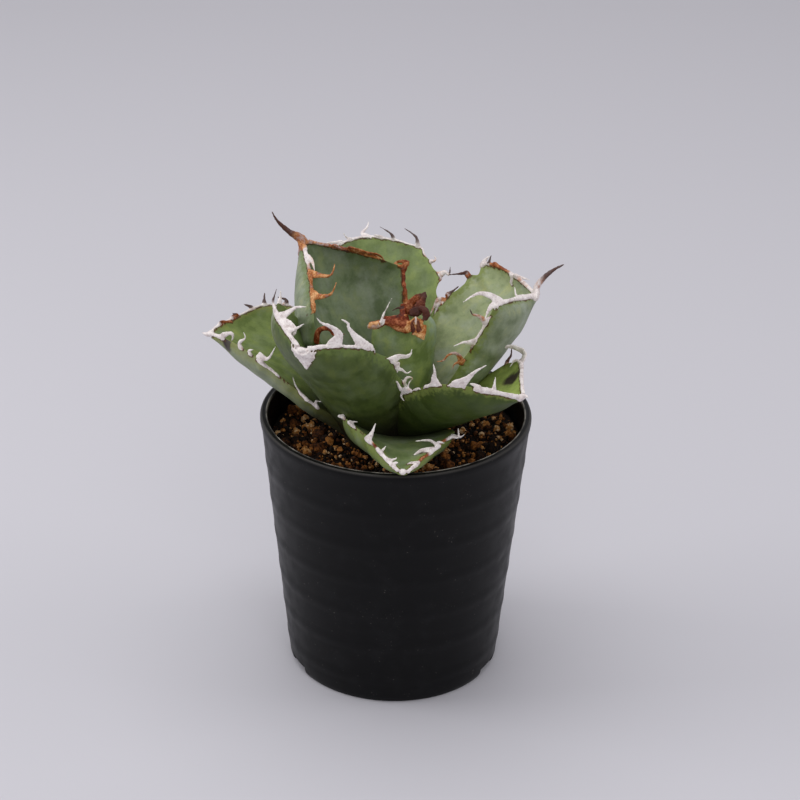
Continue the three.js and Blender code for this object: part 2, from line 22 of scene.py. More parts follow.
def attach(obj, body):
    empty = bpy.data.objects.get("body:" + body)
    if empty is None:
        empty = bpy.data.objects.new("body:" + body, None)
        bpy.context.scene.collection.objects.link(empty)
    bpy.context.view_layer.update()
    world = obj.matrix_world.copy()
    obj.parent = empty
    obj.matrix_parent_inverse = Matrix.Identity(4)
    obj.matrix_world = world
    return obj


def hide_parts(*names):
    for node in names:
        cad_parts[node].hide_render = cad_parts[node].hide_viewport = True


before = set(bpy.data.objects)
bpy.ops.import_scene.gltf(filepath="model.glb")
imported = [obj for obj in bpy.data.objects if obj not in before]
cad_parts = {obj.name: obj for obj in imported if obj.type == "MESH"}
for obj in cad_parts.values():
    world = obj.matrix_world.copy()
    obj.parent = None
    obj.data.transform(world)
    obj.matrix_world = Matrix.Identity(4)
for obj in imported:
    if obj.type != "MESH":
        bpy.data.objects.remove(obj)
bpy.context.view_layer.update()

MM = 0.001
WELD = 1e-5
ROOT_BODY = "root"
UP = Vector((0, 0, 1))

Mesh = bmesh.types.BMesh
Piece = bpy.types.Object
Material = bpy.types.Material
Socket = bpy.types.NodeSocket
Point = tuple[float, float, float]
Colour = tuple[float, float, float]
Path = tuple[Point, ...]
Places = tuple[tuple[float, float], ...]
Stops = tuple[tuple[float, Colour], ...]

log = logging.getLogger("agave")


class Slot(Enum):
    """Material slots of the pieces' finishes."""

    POT = "pot"
    SOIL = "soil"
    LEAF = "leaf"
    PALE = "pale_margin"
    DRIED = "dry_margin"


def clamp(value: float) -> float:
    """Return value held between 0 and 1."""
    return min(1.0, max(0.0, value))


def ease(low: float, high: float, value: float) -> float:
    """Return a smooth step from 0 at low to 1 at high."""
    share = clamp((value - low) / (high - low))
    return share * share * (3 - 2 * share)


def at_place(places: Places, t: float) -> float:
    """Return a value that runs straight between the given places along a leaf.

    Args:
        places: Places from 0 at the foot to 1 at the tip, each with its value.
        t: The place that is asked for.

    Returns:
        The value at t, held beyond the first and the last place.
    """
    before = [place for place in places if place[0] <= t]
    after = [place for place in places if place[0] > t]
    if not before or not after:
        return (before[-1] if before else after[0])[1]
    (low, start), (high, end) = before[-1], after[0]
    return start + (end - start) * (t - low) / (high - low)


def spline(points: Sequence[Vector], share: float) -> Vector:
    """Return a point of a smooth line through points.

    Args:
        points: Two or more points that the line passes through.
        share: Place on the line, 0 at its start and 1 at its end.

    Returns:
        The point at that share.
    """
    last = len(points) - 1
    here = min(int(share * last), last - 1)
    t = share * last - here
    b, c = points[here], points[here + 1]
    a = points[here - 1] if here else 2 * b - c
    d = points[here + 2] if here + 2 <= last else 2 * c - b
    return 0.5 * (2 * b + (c - a) * t + (2 * a - 5 * b + 4 * c - d) * t**2 + (3 * b - a - 3 * c + d) * t**3)


def heading(points: Sequence[Vector], share: float) -> Vector:
    """Return the direction of a smooth line through points.

    Args:
        points: The points that the line passes through.
        share: Place on the line, 0 at its start and 1 at its end.

    Returns:
        Its direction there, of length 1.
    """
    near = 0.02
    return (spline(points, min(1, share + near)) - spline(points, max(0, share - near))).normalized()


def wrap(bm: Mesh, around: int, along: int, place: Callable[[Any, float, float], None]) -> None:
    """Shape a new grid into a closed tube.

    Args:
        bm: Mesh that the tube is added to.
        around: Faces round the tube.
        along: Faces along it.
        place: Moves one vertex, given its turn and its share of the length, both from 0 to 1.
    """
    grid = bmesh.ops.create_grid(bm, x_segments=around, y_segments=along, size=1)["verts"]
    for vert in grid:
        place(vert, (vert.co.x + 1) / 2, (vert.co.y + 1) / 2)
    bmesh.ops.remove_doubles(bm, verts=grid, dist=WELD)
    bmesh.ops.holes_fill(bm, edges=[edge for edge in bm.edges if edge.is_boundary], sides=0)


@dataclass
class Station:
    """A section of a rope.

    Attributes:
        at: Its middle.
        out: One direction across the rope.
        up: The other one.
        wide: Half of its size along out.
        high: Half of its size along up.
    """

    at: Vector
    out: Vector
    up: Vector
    wide: float
    high: float


def rope(bm: Mesh, stations: Sequence[Station], sides: int) -> None:
    """Add a closed rope, oval in section.

    Args:
        bm: Mesh that the rope is added to.
        stations: Its sections, from one end to the other.
        sides: Faces round it.
    """
    rows = len(stations) - 1

    def place(vert: Any, turn: float, share: float) -> None:
        """Put one vertex on its station's oval.

        Args:
            vert: The vertex.
            turn: Its share of a turn round the rope.
            share: Its share of the rope's length.
        """
        spot = stations[round(share * rows)]
        angle = 2 * math.pi * turn
        aside = spot.out * (spot.wide * math.cos(angle))
        vert.co = spot.at + aside + spot.up * (spot.high * math.sin(angle))

    wrap(bm, sides, rows, place)


def lathe(bm: Mesh, line: Iterable[tuple[float, float]], steps: int) -> None:
    """Turn an outline of radii and heights about the upright axis.

    Args:
        bm: Mesh that the turned shape is added to.
        line: Its outline, from one end of the axis to the other.
        steps: Faces round it.
    """
    verts = [bm.verts.new((radius, 0, z)) for radius, z in line]
    edges = [bm.edges.new(pair) for pair in zip(verts, verts[1:])]
    bmesh.ops.spin(
        bm, geom=verts + edges, cent=(0, 0, 0), axis=(0, 0, 1), dvec=(0, 0, 0),
        angle=2 * math.pi, steps=steps, use_merge=True, use_duplicate=False,
    )
    bmesh.ops.remove_doubles(bm, verts=bm.verts, dist=WELD)


def linked(name: str, data: bpy.types.ID) -> Piece:
    """Put a new object into the scene.

    Args:
        name: Its name.
        data: Its mesh, camera or light.

    Returns:
        The object.
    """
    made = bpy.data.objects.new(name, data)
    bpy.context.scene.collection.objects.link(made)
    return made


def meshed(name: str, bm: Mesh) -> Piece:
    """Return a new object with the shape of a mesh, and free the mesh.

    Args:
        name: The object's name.
        bm: Its mesh.

    Returns:
        The object, linked to the scene.
    """
    mesh = bpy.data.meshes.new(name)
    bm.to_mesh(mesh)
    bm.free()
    return linked(name, mesh)


def finished(name: str, bm: Mesh, material: Material, sharp: float = 180.0) -> Piece:
    """Turn a mesh in millimetres into a smooth piece in metres.

    Args:
        name: The piece's name.
        bm: Its mesh, which is freed.
        material: Its finish.
        sharp: Edges steeper than this many degrees stay sharp.

    Returns:
        The new object, at the origin.
    """
    bmesh.ops.recalc_face_normals(bm, faces=bm.faces)
    bmesh.ops.scale(bm, vec=(MM, MM, MM), verts=bm.verts)
    for face in bm.faces:
        face.smooth = True
    for edge in bm.edges:
        edge.smooth = edge.calc_face_angle(0.0) < math.radians(sharp)
    piece = meshed(name, bm)
    piece.data.materials.append(material)
    return piece


def settle(piece: Piece, slot: Slot, *nodes: str) -> None:
    """Let a piece ride on the frame and stand for its nodes.

    Args:
        piece: The finished piece.
        slot: The material slot of its finish; not used.
        *nodes: The nodes of the frame that it hides.
    """
    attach(piece, ROOT_BODY)
    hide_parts(*nodes)
    log.info("%s stands for %s with %d faces", piece.name, ", ".join(nodes), len(piece.data.polygons))


def through_modifier(bm: Mesh, kind: str, settings: dict[str, Any]) -> Mesh:
    """Apply one modifier to a mesh.

    Args:
        bm: The mesh, which is freed.
        kind: The modifier's type.
        settings: Its properties and their values.

    Returns:
        A new mesh with the modifier applied.
    """
    work = meshed("work", bm)
    mesh = work.data
    modifier = work.modifiers.new(kind, kind)
    for key, value in settings.items():
        setattr(modifier, key, value)
    shaped = work.evaluated_get(bpy.context.evaluated_depsgraph_get())
    result = bmesh.new()
    result.from_mesh(shaped.data)
    bpy.data.objects.remove(work)
    bpy.data.meshes.remove(mesh)
    return result


class Shader:
    """Builds the node tree of one procedural finish."""

    LOW = 0.3
    HIGH = 0.7

    def __init__(self, name: str) -> None:
        """Start a tree with an output and a Principled shader.

        Args:
            name: Name of the material.
        """
        self.material = bpy.data.materials.new(name)
        self.material.use_nodes = True
        self.tree = self.material.node_tree
        self.tree.nodes.clear()
        output = self.tree.nodes.new("ShaderNodeOutputMaterial")
        self.surface = self.tree.nodes.new("ShaderNodeBsdfPrincipled")
        self.tree.links.new(self.surface.outputs["BSDF"], output.inputs["Surface"])

    def node(self, kind: str, inputs: dict[Any, Any], **settings: Any) -> bpy.types.Node:
        """Add a node.

        Args:
            kind: Type of the node.
            inputs: Values or sockets for its inputs, by name or number.
            **settings: Properties of the node.

        Returns:
            The new node.
        """
        made = self.tree.nodes.new(kind)
        for key, value in settings.items():
            setattr(made, key, value)
        for key, value in inputs.items():
            self.feed(made.inputs[key], value)
        return made

    def feed(self, socket: Socket, value: Any) -> None:
        """Link a socket to an input, or set its value.

        Args:
            socket: The input.
            value: Another node's output, a number, a vector or a colour.
        """
        if isinstance(value, Socket):
            self.tree.links.new(value, socket)
        elif isinstance(value, tuple) and len(value) == 3 and socket.type == "RGBA":
            socket.default_value = (*value, 1)
        else:
            socket.default_value = value

    def place(self) -> Socket:
        """Return the Object coordinates, in metres."""
        return self.node("ShaderNodeTexCoord", {}).outputs["Object"]

    def attribute(self, name: str) -> Socket:
        """Return a vector attribute of the mesh."""
        return self.node("ShaderNodeAttribute", {}, attribute_name=name).outputs["Vector"]

    def split(self, vector: Socket) -> list[Socket]:
        """Return the three parts of a vector."""
        return list(self.node("ShaderNodeSeparateXYZ", {"Vector": vector}).outputs)

    def stretch(self, vector: Socket, scale: Point) -> Socket:
        """Return a vector scaled on each axis."""
        return self.node("ShaderNodeMapping", {"Vector": vector, "Scale": scale}).outputs["Vector"]

    def cloud(self, vector: Socket, size: float, detail: float = 3.0) -> Socket:
        """Return noise from 0 to 1 with lumps of a size, in the vector's own unit."""
        made = self.node("ShaderNodeTexNoise", {"Vector": vector, "Scale": 1 / size, "Detail": detail})
        return made.outputs["Fac"]

    def step(self, value: Socket, low: float, high: float, start: float = 0.0, end: float = 1.0) -> Any:
        """Return a smooth step of a value, from start at low to end at high."""
        inputs = {"Value": value, "From Min": low, "From Max": high, "To Min": start, "To Max": end}
        return self.node("ShaderNodeMapRange", inputs, interpolation_type="SMOOTHSTEP").outputs["Result"]

    def sums(self, operation: str, *values: Any) -> Socket:
        """Return the result of a Math node."""
        return self.node("ShaderNodeMath", dict(enumerate(values)), operation=operation).outputs[0]

    def times(self, first: Any, second: Any) -> Socket:
        """Return the product of two values."""
        return self.sums("MULTIPLY", first, second)

    def spread(self, value: Socket, start: float, end: float = 1.0) -> Any:
        """Return noise spread from start to end, over the range that most of it lies in."""
        return self.step(value, self.LOW, self.HIGH, start, end)

    def far(self, operation: str, *vectors: Any) -> Socket:
        """Return the length of a vector, or the distance between two."""
        made = self.node("ShaderNodeVectorMath", dict(enumerate(vectors)), operation=operation)
        return made.outputs["Value"]

    def mix(self, share: Any, first: Any, second: Any, blend: str = "MIX") -> Socket:
        """Return two colours mixed by a share."""
        inputs = {0: share, 6: first, 7: second}
        return self.node("ShaderNodeMix", inputs, data_type="RGBA", blend_type=blend).outputs[2]

    def tinted(self, colour: Socket, tint: Colour) -> Socket:
        """Return a colour multiplied by a tint."""
        return self.mix(1.0, colour, tint, "MULTIPLY")

    def ramp(self, value: Socket, stops: Stops) -> Socket:
        """Add a colour ramp.

        Args:
            value: The value that it reads.
            stops: Its places with their colours.

        Returns:
            The ramp's colour.
        """
        made = self.node("ShaderNodeValToRGB", {"Fac": value})
        band = made.color_ramp
        while len(band.elements) < len(stops):
            band.elements.new(1)
        for element, (at, colour) in zip(band.elements, stops):
            element.position = at
            element.color = (*colour, 1)
        return made.outputs["Color"]

    def relief(self, height: Socket, depth: float, strength: float = 1.0) -> None:
        """Give the surface a fine relief of a depth in millimetres."""
        inputs = {"Height": height, "Distance": depth * MM, "Strength": strength}
        self.feed(self.surface.inputs["Normal"], self.node("ShaderNodeBump", inputs).outputs["Normal"])

    def done(self, colour: Any, roughness: Any, specular: float = 0.5) -> Material:
        """Set the surface's colour and gloss.

        Args:
            colour: Its colour.
            roughness: Its roughness.
            specular: How strongly it reflects.

        Returns:
            The finished material.
        """
        self.feed(self.surface.inputs["Base Color"], colour)
        self.feed(self.surface.inputs["Roughness"], roughness)
        self.surface.inputs["Specular IOR Level"].default_value = specular
        return self.material


@dataclass(frozen=True)
class Spot:
    """A patch on a blade.

    Attributes:
        across: Its place from the midrib, positive on the counter-clockwise side.
        along: Its place along the leaf.
        radius: Its radius.
        strength: How much of the skin it covers.
        tint: Its colour.
        face: 1 for the inner face, 0 for the outer one.
    """

    across: float
    along: float
    radius: float
    strength: float = 0.95
    tint: Colour = (0.030, 0.014, 0.022)
    face: int = 1


@dataclass(frozen=True)
class Skin:
    """Colours of a leaf's skin, linear, and how they are spread over it.

    Attributes:
        inner: Colour of the inner face.
        outer: Colour of the outer face.
        bloom: How much powder lies on it.
        mottle: How strongly it is mottled.
        base_shade: How strongly painted shade darkens it at its foot.
        edge_tint: Its colour along the margin.
        bloom_tint: Colour of the powder.
        spots: Its patches.
    """

    inner: Colour
    outer: Colour
    bloom: float = 0.35
    mottle: float = 0.45
    base_shade: float = 0.75
    edge_tint: Colour = (0.20, 0.25, 0.055)
    bloom_tint: Colour = (0.29, 0.33, 0.26)
    spots: tuple[Spot, ...] = ()

    SHADE = (0.50, 0.56, 0.44)
    FRESH = (1.45, 1.32, 1.1)
    DULL = (0.70, 0.74, 0.66)
    # Colour of the painted shade at a leaf's foot.
    BASE_SHADE_TINT = (0.012, 0.010, 0.005)
    LINE = (0.085, 0.034, 0.014)
    FACES_APART = 30.0
    LENGTHWISE = (1, 0.16, 4)
    STREAK = 2.6
    PATCH = 8 * MM
    BLOT = 4.5 * MM
    TEAR = 3 * MM
    WRINKLE = 1.6 * MM
    WANDER = 1.3 * MM
    GRAIN = 0.7 * MM
    DARKER = (0.47, 0.60)
    PALER = (0.47, 0.36)
    POWDERY = (0.42, 0.62)
    GRAINY = (0.42, 0.7)
    EDGE_REACH = (0.6, 3.4)
    BASE_SHADE_REACH = (0.08, 0.5)
    LINE_REACH = (0.12, 0.5)
    GLOSS_PATCHES = (0.35, 0.65)
    ROUGHNESS = (0.46, 0.6)
    SPECULAR = 0.24
    SOFTNESS = 0.06
    LIGHT_REACH = (0.6 * MM, 1.0 * MM, 0.4 * MM)

    def material(self, name: str) -> Material:
        """Build the skin.

        Args:
            name: The leaf's name.

        Returns:
            A matt skin with two faces, mottling, powdery streaks, a tinted edge, painted shade towards
            its foot and a brown line at the horn.
        """
        shader = Shader(f"skin_{name}")
        place = shader.place()
        skin = shader.attribute("skin")
        horn, along, edge = shader.split(shader.attribute("rim"))
        streaks = shader.cloud(shader.stretch(skin, self.LENGTHWISE), self.STREAK, 4)
        patches = shader.cloud(place, self.PATCH, 4)
        blots = shader.cloud(place, self.BLOT, 5)
        lumps = shader.sums("MULTIPLY_ADD", streaks, 0.35, shader.times(blots, 0.65))
        colour = shader.mix(shader.split(skin)[2], self.outer, self.inner)
        shade = shader.tinted(colour, self.SHADE)
        fresh = shader.tinted(colour, self.FRESH)
        colour = shader.mix(shader.step(lumps, *self.DARKER, 0, self.mottle), colour, shade)
        colour = shader.mix(shader.step(lumps, *self.PALER, 0, self.mottle), colour, fresh)
        powder = shader.times(shader.spread(streaks, 0.3), shader.step(patches, *self.POWDERY))
        colour = shader.mix(shader.times(powder, self.bloom), colour, self.bloom_tint)
        wander = shader.spread(shader.cloud(place, self.WANDER), -0.3, 0.3)
        inward = shader.sums("MULTIPLY_ADD", wander, 3.0, edge)
        colour = shader.mix(shader.step(inward, *self.EDGE_REACH, 0.8, 0), colour, self.edge_tint)
        # Painted shade: the skin is darkened towards the leaf's foot, where the rosette is crowded.
        colour = shader.mix(shader.step(along, *self.BASE_SHADE_REACH, self.base_shade, 0), colour, self.BASE_SHADE_TINT)
        grain = shader.step(shader.cloud(place, self.GRAIN, 3), *self.GRAINY, 0, 0.3)
        colour = shader.mix(grain, colour, shader.tinted(colour, self.DULL))
        apart = shader.stretch(skin, (1, 1, self.FACES_APART))
        for spot in self.spots:
            away = shader.far("DISTANCE", apart, (spot.across, spot.along, spot.face * self.FACES_APART))
            torn = shader.spread(shader.cloud(place, self.TEAR), -spot.radius / 6, spot.radius / 6)
            away = shader.sums("ADD", away, torn)
            cover = shader.step(away, spot.radius * 0.5, spot.radius, spot.strength, 0)
            colour = shader.mix(cover, colour, spot.tint)
        line = shader.step(shader.sums("ADD", horn, wander), *self.LINE_REACH, 0.9, 0)
        colour = shader.mix(line, colour, self.LINE)
        shader.relief(shader.sums("ADD", streaks, shader.cloud(place, self.WRINKLE, 4)), 0.12, 0.6)
        shader.surface.inputs["Subsurface Weight"].default_value = self.SOFTNESS
        shader.surface.inputs["Subsurface Radius"].default_value = self.LIGHT_REACH
        roughness = shader.step(patches, *self.GLOSS_PATCHES, *self.ROUGHNESS)
        return shader.done(colour, roughness, self.SPECULAR)


@dataclass(frozen=True)
class HornFinish:
    """The finish of the horny margins.

    Attributes:
        pale: Colours of pale cork.
        red: Colours of dried horn at its reddest.
        amber: Colours of dried horn at its yellowest.
        hollow_shade: Tint of the painted shade in the hollows.
        crest_highlight: Colour of the painted highlight on the crests.
        dark: Colour of the dark points.
    """

    pale: Stops = ((0.3, (0.47, 0.38, 0.36)), (0.45, (0.73, 0.65, 0.64)), (0.6, (0.91, 0.85, 0.83)))
    red: Stops = ((0.32, (0.030, 0.004, 0.002)), (0.5, (0.18, 0.028, 0.008)), (0.66, (0.50, 0.16, 0.07)))
    amber: Stops = ((0.32, (0.13, 0.030, 0.006)), (0.48, (0.45, 0.15, 0.035)), (0.66, (0.82, 0.50, 0.24)))
    hollow_shade: Colour = (0.30, 0.20, 0.16)
    crest_highlight: Colour = (0.93, 0.90, 0.83)
    dark: Colour = (0.060, 0.026, 0.022)

    LUMP = 2.2 * MM
    GRAIN = 0.6 * MM
    HIGHLIGHT_CRESTS = (0.52, 0.60)
    SHADED_HOLLOWS = (0.44, 0.50)
    ROUGHNESS = (0.45, 0.65)
    SPECULAR = 0.2

    def material(self) -> Material:
        """Build the one finish that every margin shares.

        Returns:
            A finish that reads tone, darkness and warmth from each margin's own attribute, with a painted
            highlight on the crests and painted shade in the hollows.
        """
        shader = Shader("horn")
        place = shader.place()
        tone, dark, warmth = shader.split(shader.attribute("horn"))
        bend = shader.node("ShaderNodeNewGeometry", {}).outputs["Pointiness"]
        lumps = shader.cloud(place, self.LUMP, 4)
        fine = shader.cloud(place, self.GRAIN, 4)
        grain = shader.sums("MULTIPLY_ADD", fine, 0.4, shader.times(lumps, 0.6))
        red = shader.ramp(grain, self.red)
        dried = shader.mix(shader.step(warmth, -0.9, 0.9), red, shader.ramp(grain, self.amber))
        pale = shader.ramp(grain, self.pale)
        # Painted highlight: the pale horn is lightened to cream where it is sharply convex.
        pale = shader.mix(shader.step(bend, *self.HIGHLIGHT_CRESTS, 0, 0.75), pale, self.crest_highlight)
        patchy = shader.sums("ADD", tone, shader.spread(lumps, -0.2, 0.2))
        colour = shader.mix(shader.step(patchy, 0.25, 0.75), pale, dried)
        # Painted shade: the horn is darkened where it is concave.
        hollow_shade = shader.mix(0.5, colour, self.hollow_shade, "MULTIPLY")
        colour = shader.mix(shader.step(bend, *self.SHADED_HOLLOWS, 0.45, 0), colour, hollow_shade)
        colour = shader.mix(shader.step(dark, 0.1, 0.9, 0, 0.92), colour, self.dark)
        shader.relief(fine, 0.12, 0.7)
        return shader.done(colour, shader.spread(lumps, *self.ROUGHNESS), self.SPECULAR)


@dataclass(frozen=True)
class PotFinish:
    """The finish of the pot: satin black plastic with dust and a painted highlight on its lip, and faint
    scuffs.

    Attributes:
        inner_radius: Radius of the lip's inner edge, in millimetres.
        outer_radius: Radius of its outer edge.
        height: The pot's height.
        black: Colour of the plastic.
        rubbed: Its colour where it is rubbed.
        fleck: Colour of its specks.
        dust: Colour of the dust on the lip's inner edge.
        edge_highlight: Colour of the painted highlight along the outer edge.
    """

    inner_radius: float
    outer_radius: float
    height: float
    black: Colour = (0.003, 0.003, 0.0034)
    rubbed: Colour = (0.006, 0.006, 0.0068)
    fleck: Colour = (0.11, 0.10, 0.09)
    dust: Colour = (0.36, 0.33, 0.29)
    edge_highlight: Colour = (0.075, 0.07, 0.066)

    WEAR = 6 * MM
    SPECK = 0.8 * MM
    GRAIN = 0.4 * MM
    ROUGHNESS = (0.36, 0.48)
    SPECULAR = 0.14

    def ring(self, shader: Shader, radius: float, core: float, reach: float, strength: float) -> Socket:
        """Draw a soft ring along the top of the lip.

        Args:
            shader: The finish's node tree.
            radius: The ring's radius, in millimetres.
            core: Half width of its full part.
            reach: Half width with its soft edges.
            strength: Its share in the middle.

        Returns:
            The ring's share, down to 0 beside it and below the lip's top.
        """
        place = shader.place()
        away = shader.far("LENGTH", shader.stretch(place, (1, 1, 0)))
        off = shader.sums("ABSOLUTE", shader.sums("SUBTRACT", away, radius * MM))
        high = shader.step(shader.split(place)[2], (self.height - 1.5) * MM, (self.height - 0.4) * MM)
        return shader.times(shader.step(off, core * MM, reach * MM, strength, 0), high)

    def material(self) -> Material:
        """Build the plastic.

        Returns:
            A satin black finish with a dusty lip and a painted highlight along its outer edge.
        """
        shader = Shader("pot_plastic")
        place = shader.place()
        worn = shader.cloud(place, self.WEAR, 5)
        specks = shader.step(shader.cloud(place, self.SPECK, 2), 0.67, 0.76, 0, 0.5)
        # Painted highlight: rim is a pale ring along the lip's rounded outer edge, mixed in below.
        rim = self.ring(shader, self.outer_radius - 0.45, 0.1, 0.45, 0.6)
        lip = self.ring(shader, self.inner_radius, 0.12, 0.5, 1)
        dusty = shader.times(lip, shader.step(worn, 0.38, 0.62, 0.15))
        colour = shader.mix(shader.step(worn, 0.45, 0.75), self.black, self.rubbed)
        colour = shader.mix(shader.times(specks, shader.step(worn, 0.48, 0.6)), colour, self.fleck)
        colour = shader.mix(rim, colour, self.edge_highlight)
        colour = shader.mix(dusty, colour, self.dust)
        shader.relief(shader.cloud(place, self.GRAIN, 2), 0.02, 0.4)
        return shader.done(colour, shader.step(worn, 0.35, 0.7, *self.ROUGHNESS), self.SPECULAR)


@dataclass(frozen=True)
class SoilFinish:
    """The finish of the potting mix.

    Attributes:
        grains: Colours of the grains: near-black, rust, orange-brown and tan.
    """

    grains: Stops = (
        (0.0, (0.005, 0.0025, 0.0015)),
        (0.20, (0.020, 0.007, 0.0025)),
        (0.45, (0.11, 0.034, 0.007)),
        (0.68, (0.29, 0.105, 0.020)),
        (0.88, (0.50, 0.23, 0.065)),
        (1.0, (0.66, 0.46, 0.26)),
    )

    LUMP = 0.9 * MM
    ROUGHNESS = 0.9
    SPECULAR = 0.25

    def material(self) -> Material:
        """Build the mix.

        Returns:
            A finish that takes each grain's own tone from its attribute.
        """
        shader = Shader("potting_mix")
        place = shader.place()
        tone = shader.split(shader.attribute("grain"))[0]
        rough = shader.cloud(place, self.LUMP, 5)
        colour = shader.ramp(shader.sums("ADD", tone, shader.spread(rough, -0.2, 0.14)), self.grains)
        shader.relief(rough, 0.35, 0.9)
        return shader.done(colour, self.ROUGHNESS, self.SPECULAR)


@dataclass(frozen=True)
class Tooth:
    """A tooth of a margin.

    Attributes:
        at: Its place along the leaf.
        path: Points out, along and up from the margin, in millimetres, the last at its tip.
        root: Half of its root's width along the margin.
        body: Half of its width above the flare of the root.
        dark: Share of it, from the tip, that is dark.
        tone: Its own tone, from 0 for pale to 1 for dried, or None for the margin's.
    """

    at: float
    path: Path
    root: float = 2.0
    body: float = 0.7
    dark: float = 0.0
    tone: float | None = None


@dataclass(frozen=True)
class Half:
    """One half of a leaf: its outline from the midrib, how far it cups, and its margin.

    Attributes:
        width: Greatest width from the midrib.
        widest: Place of that width along the leaf.
        foot: Share of it left at the foot.
        taper: How late the outline closes to the tip.
        cup: Angle in degrees that the half is rolled up by.
        runs: Stretches of the margin that carry horn.
        teeth: Its teeth.
        band: Places along the leaf with the width of the horn that shows there.
        tones: Places with the horn's tone, from 0 for pale to 1 for dried.
        warmth: Places with the dried horn's colour, from -1 for red to 1 for amber.
        swells: Places with a local change of the outline.
        nicks: Places with a shorter one.
    """

    width: float
    widest: float
    foot: float
    taper: float
    cup: float
    runs: Places
    teeth: tuple[Tooth, ...] = ()
    band: Places = ((0.0, 0.8),)
    tones: Places = ((0.0, 0.0),)
    warmth: Places = ((0.0, 0.0),)
    swells: Places = ()
    nicks: Places = ()


@dataclass(frozen=True)
class Spine:
    """The spine at a leaf's tip.

    Attributes:
        path: Points forward, sideways and up from the tip.
        root: Half of its width at the root.
        body: Half of its width above the root's flare.
        dark: Share of it, from the tip, that is dark.
        tone: Its tone.
        flare: Length of the root's flare.
        cap: Length and half width of the horn that runs down the back of the tip.
        warmth: The dried horn's colour, from -1 for red to 1 for amber.
    """

    path: Path
    root: float = 2.0
    body: float = 0.8
    dark: float = 0.0
    tone: float = 0.0
    flare: float = 1.6
    cap: tuple[float, float] = (0.0, 0.0)
    warmth: float = 0.0


@dataclass(frozen=True)
class Leaf:
    """A leaf: its midrib, its halves on the counter-clockwise and clockwise sides, and its looks.

    Attributes:
        name: Its name in the nodes leaf_NAME and margin_NAME.
        azimuth: Direction from the plant's middle, counter-clockwise from +X, in degrees.
        rise: Slope of the midrib at its foot and at its tip, in degrees.
        length: Length of the midrib.
        base: Radius and height where the inner face leaves the stem.
        sweep: Sideways bend of the midrib.
        roll: Turn of the blade about its midrib at the foot and at the tip.
        thick: Thickness of the keel.
        ccw: Its counter-clockwise half.
        cw: Its clockwise half.
        spine: The spine at its tip.
        skin: Its colours.
        slot: The material slot of its margin.
    """

    name: str
    azimuth: float
    rise: tuple[float, float]
    length: float
    base: tuple[float, float]
    sweep: float
    roll: tuple[float, float]
    thick: float
    ccw: Half
    cw: Half
    spine: Spine
    skin: Skin
    slot: Slot = Slot.PALE


@dataclass
class Section:
    """A cross-section of a leaf.

    Attributes:
        t: Its place along the leaf.
        middle: Its point on the midrib.
        along: The midrib's direction.
        across: The way to the counter-clockwise side.
        normal: The way up from the inner face.
        widths: Widths of the counter-clockwise and clockwise halves.
        cups: Angles in radians that they are rolled up by.
        keel: Thickness at the midrib.
    """

    t: float
    middle: Vector
    along: Vector
    across: Vector
    normal: Vector
    widths: tuple[float, float]
    cups: tuple[float, float]
    keel: float

    EDGE = 1.3
    CROWN = 0.6
    NARROWEST = 0.35

    def point(self, c: float, depth: float, inset: float = 0.0) -> Vector:
        """Return a point of the section.

        Args:
            c: Place across it, from -1 to 1.
            depth: Distance below the inner face.
            inset: How far the outline is drawn in.

        Returns:
            The point, in millimetres.
        """
        side = 0 if c >= 0 else 1
        cup = self.cups[side]
        width = max(self.NARROWEST, self.widths[side] - inset)
        turned = cup * c
        aside = width * math.sin(turned) / cup + depth * math.sin(turned)
        lift = width * (1 - math.cos(turned)) / cup - depth * math.cos(turned)
        return self.middle + self.across * aside + self.normal * lift

    def thickness(self, c: float) -> float:
        """Return the thickness of the blade at c."""
        return self.EDGE + (self.keel - self.EDGE) * max(0.0, 1 - c * c) ** self.CROWN


